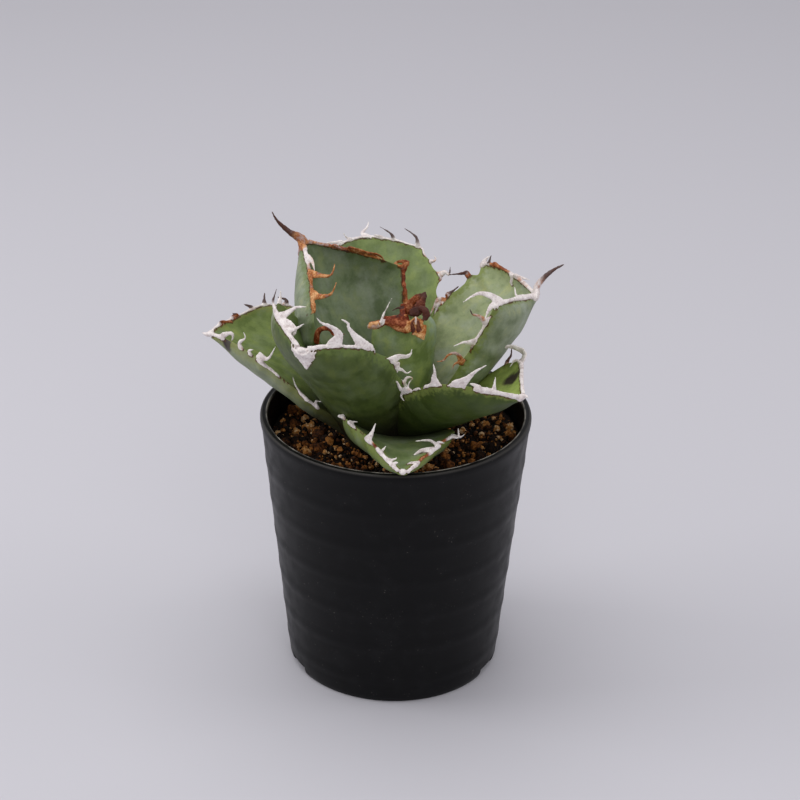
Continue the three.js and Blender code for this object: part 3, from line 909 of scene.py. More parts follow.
class LeafShape:
    """The surface of one leaf, after the same formula as the frame's blades."""

    MIDDLE = Vector((-0.7, 0, 0))
    NARROWEST = 0.4
    TIP = 1.3
    FOOT = -0.06
    THINNING = 0.45
    TIP_THINNING = 0.5
    BUMP = 1.2
    BUMP_LENGTH = 2.6
    SWELL_LENGTH = 4.5
    NICK_LENGTH = 1.7
    WAVE = 0.45
    WAVE_LENGTH = 3.6

    def __init__(self, leaf: Leaf) -> None:
        """Keep the leaf and work out its fixed directions.

        Args:
            leaf: The leaf.
        """
        self.leaf = leaf
        azimuth = math.radians(leaf.azimuth)
        self.outward = Vector((math.cos(azimuth), math.sin(azimuth), 0))
        self.sideways = Vector((-math.sin(azimuth), math.cos(azimuth), 0))
        self.low, high = (math.radians(angle) for angle in leaf.rise)
        self.turn = high - self.low

    def half(self, side: float) -> Half:
        """Return the half that a signed place across the leaf lies on."""
        return self.leaf.ccw if side >= 0 else self.leaf.cw

    def humps(self, places: Iterable[tuple[float, float]], t: float, length: float) -> float:
        """Add up smooth humps of the outline.

        Args:
            places: Their places along the leaf, with their heights.
            t: The place that is asked for.
            length: Half of a hump's length.

        Returns:
            Their height at t.
        """
        return sum(size * math.exp(-(((t - at) * self.leaf.length / length) ** 2)) for at, size in places)

    def outline(self, t: float, side: float) -> float:
        """Work out the outline's width at a place.

        Args:
            t: Place along the leaf.
            side: Positive for the counter-clockwise half, negative for the other.

        Returns:
            The width from the midrib to the middle of the margin.
        """
        half = self.half(side)
        foot = half.foot + (1 - half.foot) * math.sin(math.pi / 2 * clamp(t / half.widest))
        beyond = clamp((t - half.widest) / (1 - half.widest)) ** half.taper
        plain = half.width * foot if t < half.widest else self.TIP + (half.width - self.TIP) * (1 - beyond)
        fade = math.sin(math.pi * clamp(t)) ** 0.5
        bumps = self.humps(((tooth.at, 1.0) for tooth in half.teeth), t, self.BUMP_LENGTH)
        swell = self.humps(half.swells, t, self.SWELL_LENGTH) + self.humps(half.nicks, t, self.NICK_LENGTH)
        wave = noise.noise(Vector((t * self.leaf.length / self.WAVE_LENGTH, self.leaf.azimuth, side)))
        return max(self.NARROWEST, plain + fade * (self.BUMP * min(bumps, 1) + swell + self.WAVE * wave))

    def section(self, t: float) -> Section:
        """Work out a cross-section.

        Args:
            t: Place along the leaf, 0 at its foot and 1 at its tip.

        Returns:
            The cross-section there.
        """
        leaf = self.leaf
        slope = self.low + self.turn * t
        reach = leaf.base[0] + leaf.length * (math.sin(slope) - math.sin(self.low)) / self.turn
        height = leaf.base[1] - leaf.length * (math.cos(slope) - math.cos(self.low)) / self.turn
        shift = leaf.sweep * leaf.length * t * abs(t)
        middle = self.MIDDLE + self.outward * reach + UP * height + self.sideways * shift
        along = self.outward * math.cos(slope) + UP * math.sin(slope)
        along = (along + self.sideways * (2 * leaf.sweep * abs(t))).normalized()
        across = (self.sideways - along * self.sideways.dot(along)).normalized()
        turned = Quaternion(along, math.radians(leaf.roll[0] + (leaf.roll[1] - leaf.roll[0]) * t))
        widths = (self.outline(t, 1), self.outline(t, -1))
        cups = (math.radians(leaf.ccw.cup), math.radians(leaf.cw.cup))
        keel = leaf.thick * (1 - self.THINNING * max(t, 0) ** 2)
        keel *= 1 - self.TIP_THINNING * ease(0.8, 1, t)
        normal = turned @ along.cross(across)
        return Section(t, middle, along, turned @ across, normal, widths, cups, keel)

    def margin(self, t: float, side: float) -> tuple[Vector, Vector, Vector, Vector]:
        """Find a place on the margin.

        Args:
            t: Place along the leaf.
            side: 1 for the counter-clockwise side, -1 for the other.

        Returns:
            The point, the margin's direction, the way out of the blade and the blade's normal.
        """
        step, inward, depth = 0.01, 0.97, Section.EDGE / 2
        here = self.section(t)
        at = here.point(side, depth)
        ahead, behind = self.section(min(t + step, 1)), self.section(t - step)
        along = (ahead.point(side, depth) - behind.point(side, depth)).normalized()
        out = at - here.point(side * inward, depth)
        out = (out - along * out.dot(along)).normalized()
        return at, along, out, along.cross(out) * side


@dataclass
class Mark:
    """A point that colours the horn round it.

    Attributes:
        at: Its place, in millimetres.
        tone: The horn's tone, from 0 for pale to 1 for dried.
        dark: How dark the horn is.
        warmth: The dried horn's colour, from -1 for red to 1 for amber.
    """

    at: Vector
    tone: float
    dark: float = 0.0
    warmth: float = 0.0


def corky(bm: Mesh, marks: Sequence[Mark], voxel: float, passes: int, rough: float) -> Mesh:
    """Join overlapping ropes into one body of horn with a corky surface.

    Args:
        bm: The ropes, which are freed.
        marks: Points that colour the horn.
        voxel: Fineness of the joined body.
        passes: Rounds of smoothing.
        rough: Depth of the surface's lumps.

    Returns:
        The joined body, with the attribute horn.
    """
    bmesh.ops.recalc_face_normals(bm, faces=bm.faces)
    bm = through_modifier(bm, "REMESH", {"mode": "VOXEL", "voxel_size": voxel})
    for _ in range(passes):
        bmesh.ops.smooth_vert(
            bm, verts=bm.verts, factor=0.5, use_axis_x=True, use_axis_y=True, use_axis_z=True,
        )
    bm.normal_update()
    search = KDTree(len(marks))
    for index, mark in enumerate(marks):
        search.insert(mark.at, index)
    search.balance()
    layer = bm.verts.layers.float_vector.new("horn")
    for vert in bm.verts:
        found = [(marks[index], 1 / (away + 0.1) ** 2) for _, index, away in search.find_n(vert.co, 3)]
        total = sum(weight for _, weight in found)
        vert[layer] = [
            sum(getattr(mark, look) * weight for mark, weight in found) / total
            for look in ("tone", "dark", "warmth")
        ]
    for vert in bm.verts:
        vert.co += vert.normal * rough * (noise.noise(vert.co / 1.1) + 0.5 * noise.noise(vert.co / 0.45))
    return bm


class Horn:
    """The horny margin of a leaf with its teeth and spine, joined into one corky body."""

    VOXEL = 0.2
    STEP = 0.5
    SIDES = 10
    ROWS = 14
    POINT = 0.17
    ROUNDED_OFF = 0.7
    SINK = 0.7
    THICK = 0.5
    SPINE_THICK = 1.1
    ROUGH = 0.13
    LUMP = 1.7
    LUMPY = 0.7
    ROOTED = 0.4
    LEAST = 0.12
    ENDING = 1.6
    END_WIDE = 0.35
    END_HIGH = 0.5
    SUNK = 0.9
    RAISED = 0.75
    STRIP = 0.6
    STRIP_STEPS = 8

    def __init__(self, shape: LeafShape) -> None:
        """Start an empty margin.

        Args:
            shape: The surface of its leaf.
        """
        self.shape = shape
        self.bm = bmesh.new()
        self.marks: list[Mark] = []

    def band(self, side: int, start: float, end: float) -> None:
        """Add a band of horn along one side, sunk in where it ends.

        Args:
            side: 1 for the counter-clockwise side, -1 for the other.
            start: Place along the leaf where the band starts.
            end: Place where it ends.
        """
        half = self.shape.half(side)
        leaf = self.shape.leaf
        count = max(4, round((end - start) * leaf.length / self.STEP))
        spots = []
        for step in range(count + 1):
            t = start + (end - start) * step / count
            at, _, out, up = self.shape.margin(t, side)
            lumps = noise.noise(Vector((t * leaf.length / self.LUMP, leaf.azimuth, side * 5.0)))
            offs = [(t - tooth.at) * leaf.length / tooth.root for tooth in half.teeth]
            near = max((math.exp(-(off**2)) for off in offs), default=0)
            left = min(t - start, end - t if end < 1 else 1) * leaf.length
            whole = ease(-0.3, self.ENDING, left)
            wide = (self.LEAST + at_place(half.band, t) / 2) * (1 + self.LUMPY * lumps + self.ROOTED * near)
            wide *= self.END_WIDE + (1 - self.END_WIDE) * whole
            high = (0.42 + 0.45 * min(1, wide)) * (self.END_HIGH + (1 - self.END_HIGH) * whole)
            sunk = at - out * (self.SUNK - self.RAISED * whole)
            spots.append(Station(sunk, out, up, max(0.2, wide), high))
            tone = at_place(half.tones, t) + 0.4 * (1 - whole)
            self.marks.append(Mark(at, tone, 0, at_place(half.warmth, t)))
        rope(self.bm, spots, self.SIDES)

    def spike(
        self, at: Vector, ways: tuple[Vector, Vector, Vector], spec: Tooth | Spine, mark: Mark,
    ) -> None:
        """Add a tapering tooth or spine.

        Args:
            at: Point of the margin that it grows from.
            ways: Directions of its path's three numbers. The first is the way out of the leaf.
            spec: Its path and sizes.
            mark: Tone and warmth of its horn.
        """
        spine = isinstance(spec, Spine)
        points = [at - ways[0] * self.SINK, at]
        points += [at + sum((way * size for way, size in zip(ways, spot)), Vector()) for spot in spec.path]
        longer = 0 if spine else self.ROUNDED_OFF
        points[-1] = points[-1] + (points[-1] - points[-2]).normalized() * longer
        length = sum((b - a).length for a, b in zip(points, points[1:]))
        flare = spec.flare if spine else max(1.2, 0.3 * length)
        wide_way = ways[1]
        last = None
        run = 0.0
        stations = []
        for row in range(self.ROWS + 1):
            s = row / self.ROWS
            here = spline(points, s)
            ahead = heading(points, s)
            if last is not None:
                wide_way = last[1].rotation_difference(ahead) @ wide_way
                run += (here - last[0]).length
            wide_way = (wide_way - ahead * wide_way.dot(ahead)).normalized()
            left = max(0.0, 1 - run / length)
            root = (spec.root - spec.body) * math.exp(-((run / flare) ** 1.5))
            wide = self.POINT + spec.body * left**0.85 + root
            high = self.POINT + (self.SPINE_THICK if spine else self.THICK) * left**0.9
            stations.append(Station(here, wide_way, ahead.cross(wide_way), wide, min(wide, high)))
            dark = ease(1 - spec.dark, 1 - spec.dark * 0.5, s) if spec.dark else 0.0
            self.marks.append(Mark(here, mark.tone, dark, mark.warmth))
            last = (here, ahead)
        rope(self.bm, stations, self.SIDES)

    def cap(self) -> None:
        """Add the horn that runs down the back of the tip to a point, as strips laid across it."""
        leaf = self.shape.leaf
        length, wide = leaf.spine.cap
        strips = round(length / self.STRIP)
        for strip in range(strips):
            share = strip / strips
            here = self.shape.section(1 - (0.4 + share * length) / leaf.length)
            ragged = 1 + 0.3 * noise.noise(Vector((strip * 0.9, leaf.azimuth, 0)))
            stations = []
            for step in range(self.STRIP_STEPS + 1):
                spread = 2 * step / self.STRIP_STEPS - 1
                full = here.widths[0 if spread >= 0 else 1]
                half = min(full, wide * ragged * (1 - share) ** 1.1)
                c = 0.98 * spread * half / full
                crease = 0.25 * noise.noise(Vector((spread * 2.5, leaf.azimuth, share)))
                at = here.point(c, here.thickness(c) - 0.1 + crease)
                stations.append(Station(at, here.along, here.normal, 0.8 * self.STRIP, 0.45))
                self.marks.append(Mark(at, leaf.spine.tone, 0, leaf.spine.warmth))
            rope(self.bm, stations, self.SIDES)

    def build(self, material: Material) -> tuple[Piece, BVHTree]:
        """Build the margin.

        Args:
            material: The horn's finish.

        Returns:
            The piece, and a search tree of its surface in millimetres.
        """
        leaf = self.shape.leaf
        last = self.shape.section(1.0)
        for side in (1, -1):
            half = self.shape.half(side)
            for start, end in half.runs:
                self.band(side, start, end)
            for tooth in half.teeth:
                at, forward, out, up = self.shape.margin(tooth.at, side)
                tone = at_place(half.tones, tooth.at) if tooth.tone is None else tooth.tone
                warmth = at_place(half.warmth, tooth.at)
                self.spike(at, (out, forward, up), tooth, Mark(at, tone, 0, warmth))
        tip = last.point(0, Section.EDGE / 2)
        mark = Mark(tip, leaf.spine.tone, 0, leaf.spine.warmth)
        self.spike(tip, (last.along, last.across, last.normal), leaf.spine, mark)
        self.cap()
        bm = corky(self.bm, self.marks, self.VOXEL, 2, self.ROUGH)
        tree = BVHTree.FromBMesh(bm)
        return finished(f"horn_{leaf.name}", bm, material), tree


class Blade:
    """The fleshy blade of a leaf: a closed cupped lens with a rounded edge."""

    ROWS = 112
    AROUND = 76
    ROUND = 8
    SHORT = 0.6
    INSET = 0.45
    RIPPLE = 0.3
    REACH = 8.0

    def __init__(self, shape: LeafShape) -> None:
        """Keep the leaf's shape."""
        self.shape = shape

    def build(self, horn: BVHTree, material: Material) -> Piece:
        """Build the blade.

        Args:
            horn: Search tree of the leaf's own margin.
            material: The leaf's skin.

        Returns:
            The piece.
        """
        bm = bmesh.new()
        skin = bm.verts.layers.float_vector.new("skin")
        rim = bm.verts.layers.float_vector.new("rim")
        start = self.shape.FOOT
        length = self.shape.leaf.length
        end = 1 - self.SHORT / length
        places = [start + (end - start) * row / self.ROWS for row in range(self.ROWS + 1)]
        sections = [self.shape.section(t) for t in places]

        def place(vert: Any, turn: float, share: float) -> None:
            """Put one vertex on the lens and note where it lies.

            Args:
                vert: The vertex.
                turn: Its share of a turn round the section.
                share: Its share of the blade's length.
            """
            here = sections[round(share * self.ROWS)]
            angle = 2 * math.pi * turn
            c = math.cos(angle)
            body = max(0.0, 1 - abs(c) ** self.ROUND) ** 0.5
            inner = math.sin(angle) >= 0
            edge = here.EDGE / 2
            depth = edge * (1 - body) if inner else edge + (here.thickness(c) - edge) * body
            vert.co = here.point(c, depth, self.INSET)
            vert.co += here.normal * (self.RIPPLE * noise.noise(vert.co / 9) * body)
            width = here.widths[0 if c >= 0 else 1]
            vert[skin] = (c * width, here.t * length, 1.0 if inner else 0.0)
            away = horn.find_nearest(vert.co, self.REACH)[3]
            vert[rim] = (self.REACH if away is None else away, here.t, (1 - abs(c)) * width)

        wrap(bm, self.AROUND, self.ROWS, place)
        return finished(f"blade_{self.shape.leaf.name}", bm, material)


@dataclass
class Pot:
    """The round nursery pot: lip, ringed wall, floor with drain holes, and foot ring with notches.

    Attributes:
        height: Height of the lip's top.
        rim_radius: Radius of the lip.
        lip_width: Width of the lip.
        lip_height: Height of the lip.
        neck_radius: The wall's radius under the lip.
        base_radius: The wall's radius at the ground.
        wall: Thickness of the wall.
        foot_radius: Outer radius of the foot ring.
        foot_width: Width of the foot ring.
        floor_rise: Height of the floor's underside.
        floor_thick: Thickness of the floor.
        pad_radius: Radius of the pad under the floor's middle.
        ring_heights: Heights of the rings on the wall.
        ring_relief: How far a ring stands out.
        ring_spread: Half of a ring's height.
        steps: Faces round the pot.
        notch_angles: Places of the notches round the foot, in degrees from the front.
        notch_width: Width of a notch.
        notch_height: Height of a notch.
        drain_count: How many drain holes there are.
        drain_radius: Radius of a drain hole.
        drain_circle: Radius of the circle that they lie on.
        sharp: Edges steeper than this many degrees stay sharp.
    """

    height: float = 93.0
    rim_radius: float = 45.5
    lip_width: float = 2.4
    lip_height: float = 4.6
    neck_radius: float = 44.9
    base_radius: float = 35.7
    wall: float = 1.5
    foot_radius: float = 34.3
    foot_width: float = 4.5
    floor_rise: float = 1.6
    floor_thick: float = 1.8
    pad_radius: float = 8.0
    ring_heights: tuple[float, ...] = (9.2, 22.7, 36.2, 49.8, 63.3, 76.8)
    ring_relief: float = 0.2
    ring_spread: float = 3.4
    steps: int = 160
    notch_angles: tuple[float, ...] = (-114, -66, 66, 114)
    notch_width: float = 11.0
    notch_height: float = 3.2
    drain_count: int = 6
    drain_radius: float = 3.0
    drain_circle: float = 18.0
    sharp: float = 40.0

    @property
    def neck_height(self) -> float:
        """Height of the lip's underside."""
        return self.height - self.lip_height

    @property
    def floor_top(self) -> float:
        """Height of the floor's upper face."""
        return self.floor_rise + self.floor_thick

    @property
    def lip_inner(self) -> float:
        """Radius of the lip's inner edge."""
        return self.rim_radius - self.lip_width

    def wall_radius(self, z: float) -> float:
        """Return the wall's outer radius at a height."""
        return self.base_radius + (self.neck_radius - self.base_radius) * z / self.neck_height

    def inner_radius(self, z: float) -> float:
        """Work out the wall's inner radius.

        Args:
            z: Height above the ground.

        Returns:
            The radius there.
        """
        floor_radius = self.wall_radius(self.floor_top) - self.wall
        share = (z - self.floor_top) / (self.height - 0.5 - self.floor_top)
        return floor_radius + (self.lip_inner - floor_radius) * share

    def profile(self) -> list[tuple[float, float]]:
        """Draw the outline that is turned.

        Returns:
            Radii and heights, from the pad under the floor, up the wall and down to the floor's top.
        """
        foot_in = self.foot_radius - self.foot_width
        line = [(0.0, 0.0), (self.pad_radius, 0), (self.pad_radius + 1, self.floor_rise)]
        line += [(foot_in - 1, self.floor_rise), (foot_in, 0.15), (foot_in + 0.3, 0)]
        line += [(self.foot_radius, 0), (self.foot_radius + 0.7, 0.2)]
        line += [(self.base_radius - 0.2, 1.0), (self.wall_radius(2.2), 2.2)]
        for ring in self.ring_heights:
            for step in range(-5, 6):
                z = ring + self.ring_spread * step / 5
                bulge = self.ring_relief * math.cos(math.pi * step / 10) ** 2
                line.append((self.wall_radius(z) + bulge, z))
        rim, lip, neck, top = self.rim_radius, self.lip_inner, self.neck_height, self.height
        line += [(self.wall_radius(neck - 3.0), neck - 3.0), (self.neck_radius, neck)]
        line += [(rim - 0.2, neck + 1.6), (rim, neck + 2.8), (rim, top - 1.0), (rim - 0.22, top - 0.35)]
        line += [(rim - 0.75, top - 0.05), (rim - 1.1, top - 0.12), (lip + 0.55, top - 0.12)]
        line += [(lip + 0.25, top), (lip, top - 0.25), (lip - 0.05, top - 1.0)]
        line += [(self.inner_radius(z), z) for z in (84.0, 40.0, self.floor_top)]
        return [*line, (0.0, self.floor_top)]

    def cutter(self) -> Piece:
        """Build the tool that cuts the notches and the drain holes.

        Returns:
            An object of blocks and rods.
        """
        bm = bmesh.new()
        depth = 3 * self.foot_width
        middle = self.base_radius + depth / 2 - self.foot_width - 1
        for angle in self.notch_angles:
            turn = Matrix.Rotation(math.radians(angle), 4, "Z")
            size = Matrix.Diagonal((self.notch_width, depth, 2 * self.notch_height, 1))
            bmesh.ops.create_cube(bm, size=1, matrix=turn @ Matrix.Translation((0, -middle, 0)) @ size)
        for index in range(self.drain_count):
            turn = Matrix.Rotation(2 * math.pi * index / self.drain_count, 4, "Z")
            at = turn @ Matrix.Translation((self.drain_circle, 0, 0))
            bmesh.ops.create_cone(
                bm, cap_ends=True, segments=24, radius1=self.drain_radius,
                radius2=self.drain_radius, depth=4 * self.floor_top, matrix=at,
            )
        return meshed("cutter", bm)

    def build(self) -> None:
        """Turn the outline about the pot's axis, cut it and finish it."""
        bm = bmesh.new()
        lathe(bm, self.profile(), self.steps)
        bmesh.ops.recalc_face_normals(bm, faces=bm.faces)
        tool = self.cutter()
        bm = through_modifier(bm, "BOOLEAN", {"operation": "DIFFERENCE", "object": tool, "solver": "EXACT"})
        bpy.data.objects.remove(tool)
        finish = PotFinish(self.lip_inner + 0.15, self.rim_radius, self.height)
        settle(finished("pot_moulding", bm, finish.material(), self.sharp), Slot.POT, "pot")


@dataclass(frozen=True)
class GrainSort:
    """A sort of loose grain.

    Attributes:
        name: Name of its piece.
        count: How many there are.
        least: Radius of the smallest.
        added: How much larger the largest is.
        rounds: How finely each is faceted.
        level: How far they are raised.
        craggy: How rough they are.
        pale: The higher, the fewer of them are pale.
    """

    name: str
    count: int
    least: float
    added: float
    rounds: int
    level: float
    craggy: float
    pale: float


@dataclass
class Soil:
    """The potting mix: a dark bed with fine, middle and coarse grains on its top.

    Attributes:
        pot: The pot that it fills.
        top: Height of its top.
        gap: Room between it and the pot.
        relief: Height of the bed's lumps.
        sunk: How far the lowest grains sink below the top.
        heaped: How far the highest stand above those.
        mostly_small: How strongly small grains outnumber large ones.
        seed: Seed of the random draws.
        bed_steps: Faces round the bed.
        sorts: Its sorts of grains.
    """

    pot: Pot
    top: float = 83.6
    gap: float = 0.35
    relief: float = 0.7
    sunk: float = 0.45
    heaped: float = 0.5
    mostly_small: float = 1.6
    seed: int = 11
    bed_steps: int = 96
    sorts: tuple[GrainSort, ...] = (
        GrainSort("soil_fines", 1700, 0.35, 0.45, 1, 0.15, 0.35, 1.7),
        GrainSort("soil_grains", 900, 0.55, 0.6, 2, 0.35, 0.45, 1.4),
        GrainSort("soil_lumps", 200, 0.9, 1.2, 3, 0.5, 0.5, 1.0),
    )

    def build(self) -> None:
        """Build the bed and its grains in one finish."""
        material = SoilFinish().material()
        settle(finished("soil_bed", self.bed(), material), Slot.SOIL, "soil")
        draw = random.Random(self.seed)
        for sort in self.sorts:
            settle(finished(sort.name, self.scatter(sort, draw), material), Slot.SOIL, "soil")

    def bed(self) -> Mesh:
        """Build the body of the mix.

        Returns:
            The body, with a lumpy top and the attribute grain for its tones.
        """
        bm = bmesh.new()
        layer = bm.verts.layers.float_vector.new("grain")
        floor = self.pot.floor_top + self.gap
        radius = self.pot.inner_radius(self.top) - self.gap
        line = [(0.0, floor), (self.pot.inner_radius(floor) - self.gap, floor)]
        line += [(radius * (1 - ring / 30), self.top - 0.6) for ring in range(31)]
        lathe(bm, line, self.bed_steps)
        for vert in bm.verts:
            if vert.co.z > self.top - 1:
                vert.co.z += self.relief * noise.noise(vert.co / 3.0)
            vert[layer] = (0.1 + 0.2 * noise.noise(vert.co / 2.0), 0, 0)
        return bm

    def scatter(self, sort: GrainSort, draw: random.Random) -> Mesh:
        """Spread the grains of one sort.

        Args:
            sort: The sort of grain.
            draw: The seeded source of chance.

        Returns:
            The grains, with the attribute grain for their tones.
        """
        ball = bmesh.new()
        bmesh.ops.create_icosphere(ball, subdivisions=sort.rounds, radius=1)
        ball.verts.index_update()
        bm = bmesh.new()
        layer = bm.verts.layers.float_vector.new("grain")
        reach = self.pot.inner_radius(self.top) - self.gap - 0.2
        for index in range(sort.count):
            radius = sort.least + sort.added * draw.random() ** self.mostly_small
            away = (reach - radius * 1.2) * draw.random() ** 0.5
            turn = draw.random() * 2 * math.pi
            level = self.top - self.sunk + self.heaped * draw.random() + sort.level
            middle = Vector((away * math.cos(turn), away * math.sin(turn), level))
            wide, tall = 0.8 + 0.4 * draw.random(), 0.65 + 0.3 * draw.random()
            size = Vector((radius * wide, radius, radius * tall))
            shape = Matrix.LocRotScale(Vector(), Euler([draw.random() * math.pi for _ in range(3)]), size)
            tone = draw.random() ** sort.pale
            made = []
            for vert in ball.verts:
                off = shape @ vert.co
                spot = off / radius + Vector((index * 3.7, 0, 0))
                push = noise.noise(spot * 1.3) + 0.45 * noise.noise(spot * 3.1)
                made.append(bm.verts.new(middle + off * (1 + sort.craggy * push)))
                made[-1][layer] = (tone, 0, 0)
            for face in ball.faces:
                bm.faces.new([made[vert.index] for vert in face.verts])
        ball.free()
        return bm


@dataclass
class Stem:
    """The short stem, whose own solid stays and gets a fibrous finish, and the bud above it.

    Attributes:
        x: Place of the bud's axis across the pot.
        y: Its place towards the back.
        foot: Height of the bud's foot.
        top: Height of its tip.
        radius: Its greatest radius.
        swell: Places up the bud, with their share of that radius.
        fibres: Colours of the stem.
        fibre: Width of a fibre.
        fibre_stretch: Scale of the fibres on each axis, which draws them out along the stem.
        folds: How often the wrapped leaves overlap round the bud.
        twist: Turns of a fold from foot to tip.
        fold_width: Width that a fold stands for in the skin's pattern.
        fold_depth: Share of the radius that it steps in by.
        skin: The bud's colours.
    """

    x: float = 0.3
    y: float = 3.0
    foot: float = 93.5
    top: float = 127.0
    radius: float = 7.5
    swell: Places = (
        (0.0, 0.7), (0.12, 0.86), (0.25, 0.95), (0.5, 1.0), (0.75, 0.82), (0.92, 0.5), (0.98, 0.2),
    )
    fibres: Stops = ((0.3, (0.10, 0.08, 0.04)), (0.7, (0.25, 0.28, 0.13)))
    fibre: float = 0.8
    fibre_stretch: Point = (1, 1, 0.15)
    folds: int = 2
    twist: float = 1.4
    fold_width: float = 12.0
    fold_depth: float = 0.06
    skin: Skin = Skin((0.13, 0.20, 0.075), (0.12, 0.19, 0.075), 0.4, 0.3, 0.5)

    def dress_stem(self) -> None:
        """Give the stem's own solid its fibrous finish."""
        shader = Shader("stem_fibre")
        fibre = shader.cloud(shader.stretch(shader.place(), self.fibre_stretch), self.fibre * MM, 4)
        shader.relief(fibre, 0.3)
        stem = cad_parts["stem"]
        stem.data.materials.clear()
        stem.data.materials.append(shader.done(shader.ramp(fibre, self.fibres), 0.7))

    def build(self) -> None:
        """Dress the stem's solid and build the bud's cone of wrapped leaves."""
        self.dress_stem()
        bm = bmesh.new()
        skin = bm.verts.layers.float_vector.new("skin")
        rim = bm.verts.layers.float_vector.new("rim")
        tall = self.top - self.foot

        def place(vert: Any, turn: float, share: float) -> None:
            """Put one vertex on the cone, with the wrapped leaf's edge as a soft spiral step.

            Args:
                vert: The vertex.
                turn: Its share of a turn round the cone.
                share: Its share of the cone's height.
            """
            wide = spline([Vector((r, z, 0)) for z, r in self.swell], share)
            angle = 2 * math.pi * turn
            fold = (turn * self.folds + share * self.twist) % 1
            radius = self.radius * wide.x * (1 - self.fold_depth + self.fold_depth * fold)
            vert.co.x = self.x + radius * math.cos(angle)
            vert.co.y = self.y + radius * math.sin(angle)
            vert.co.z = self.foot + tall * wide.y
            vert[skin] = (fold * self.fold_width, share * tall, 0)
            vert[rim] = (Blade.REACH, 0.3 + 0.7 * share, min(fold, 1 - fold) * self.fold_width + 0.6)

        wrap(bm, 72, 60, place)
        settle(finished("bud_cone", bm, self.skin.material("bud")), Slot.LEAF, "bud")


@dataclass(frozen=True)
class Scale:
    """A dried scale.

    Attributes:
        path: Points of its middle line, from the plant's middle.
        widths: Half widths in even steps along it.
        thick: Half of its thickness.
        tone: Its tone, from 0 for pale to 1 for dried.
        warmth: The dried horn's colour, from -1 for red to 1 for amber.
        dark: How dark it is all over.
        dark_tip: How dark its end is.
        facing: The way that its flat side faces.
    """

    path: Path
    widths: tuple[float, ...]
    thick: float = 0.45
    tone: float = 1.0
    warmth: float = 0.0
    dark: float = 0.0
    dark_tip: float = 0.0
    facing: Point = (0.0, -1.0, 0.25)


@dataclass
class DryCollar:
    """The dried brown tip on the heart leaf: a torn collar with curled scales and a thin pale spine.

    Attributes:
        middle: The plant's middle.
        voxel: Fineness of the joined body.
        rows: Sections along a scale.
        sides: Faces round a scale.
        thinnest: Half width that a scale never goes below.
        torn: Depth of its torn surface.
        crumple: How far a scale bends out of its plane.
        scales: Its scales.
    """

    middle: Point = (-0.7, 0, 0)
    voxel: float = 0.17
    rows: int = 20
    sides: int = 14
    thinnest: float = 0.13
    torn: float = 0.16
    crumple: float = 0.35
    scales: tuple[Scale, ...] = ()

    def build(self, material: Material) -> None:
        """Join the scales into one torn body.

        Args:
            material: The horn's finish.
        """
        bm = bmesh.new()
        marks: list[Mark] = []
        shift = Vector(self.middle)
        for scale in self.scales:
            points = [Vector(point) + shift for point in scale.path]
            sizes = [Vector((width, 0, 0)) for width in scale.widths]
            stations = []
            for row in range(self.rows + 1):
                s = row / self.rows
                here = spline(points, s)
                ahead = heading(points, s)
                way = ahead.cross(Vector(scale.facing)).normalized()
                bent = here + ahead.cross(way) * (self.crumple * noise.noise(here / 1.4))
                wide = max(self.thinnest, spline(sizes, s).x * (1 + 0.25 * noise.noise(here / 0.9)))
                stations.append(Station(bent, way, ahead.cross(way), wide, min(wide, scale.thick)))
                dark = max(scale.dark, scale.dark_tip * ease(0.4, 0.9, s))
                for aside in (-0.6, 0, 0.6):
                    marks.append(Mark(bent + way * wide * aside, scale.tone, dark, scale.warmth))
            rope(bm, stations, self.sides)
        bm = corky(bm, marks, self.voxel, 1, self.torn)
        settle(finished("dry_collar", bm, material), Slot.DRIED, "dry_tip")


HIDDEN_SKIN = Skin((0.13, 0.19, 0.075), (0.12, 0.18, 0.07), 0.4, 0.4, 0.6)
HIDDEN_SPINE = Spine(((2, 0, 0.3), (4.5, 0, 1.2)), 1.8, 0.7, 0.5)


def even_teeth(count: int, start: float, reach: float) -> tuple[Tooth, ...]:
    """Return teeth in even steps along a half, leaning to the tip by turns.

    Args:
        count: How many teeth.
        start: Place of the first along the leaf.
        reach: How far they stand out.

    Returns:
        The teeth, from the foot to the tip.
    """
    teeth = []
    for index in range(count):
        at = start + (0.92 - start) * index / (count - 1)
        lean = 1.5 if index % 2 else -0.8
        teeth.append(Tooth(at, ((reach * 0.6, lean * 0.3, 0.4), (reach, lean, 1.2)), 1.8, 0.6))
    return tuple(teeth)


def plain_half(width: float, cup: float, first: float, reach: float) -> Half:
    """Return one half of a low leaf, with even teeth.

    Args:
        width: Its width.
        cup: Angle in degrees that it is rolled up by.
        first: Place of its first tooth along the leaf.
        reach: How far its teeth stand out.

    Returns:
        The half.
    """
    return Half(width, 0.5, 0.6, 1.8, cup, ((0.3, 1),), even_teeth(5, first, reach))


LOW_BACK_LEFT = Leaf(
    name="low_back_left", azimuth=134, rise=(26, 14), length=42, base=(8, 88), sweep=0, roll=(0, 0),
    thick=6, ccw=plain_half(15, 34, 0.42, 3.2), cw=plain_half(16, 34, 0.4, 3.4), spine=HIDDEN_SPINE,
    skin=HIDDEN_SKIN,
)

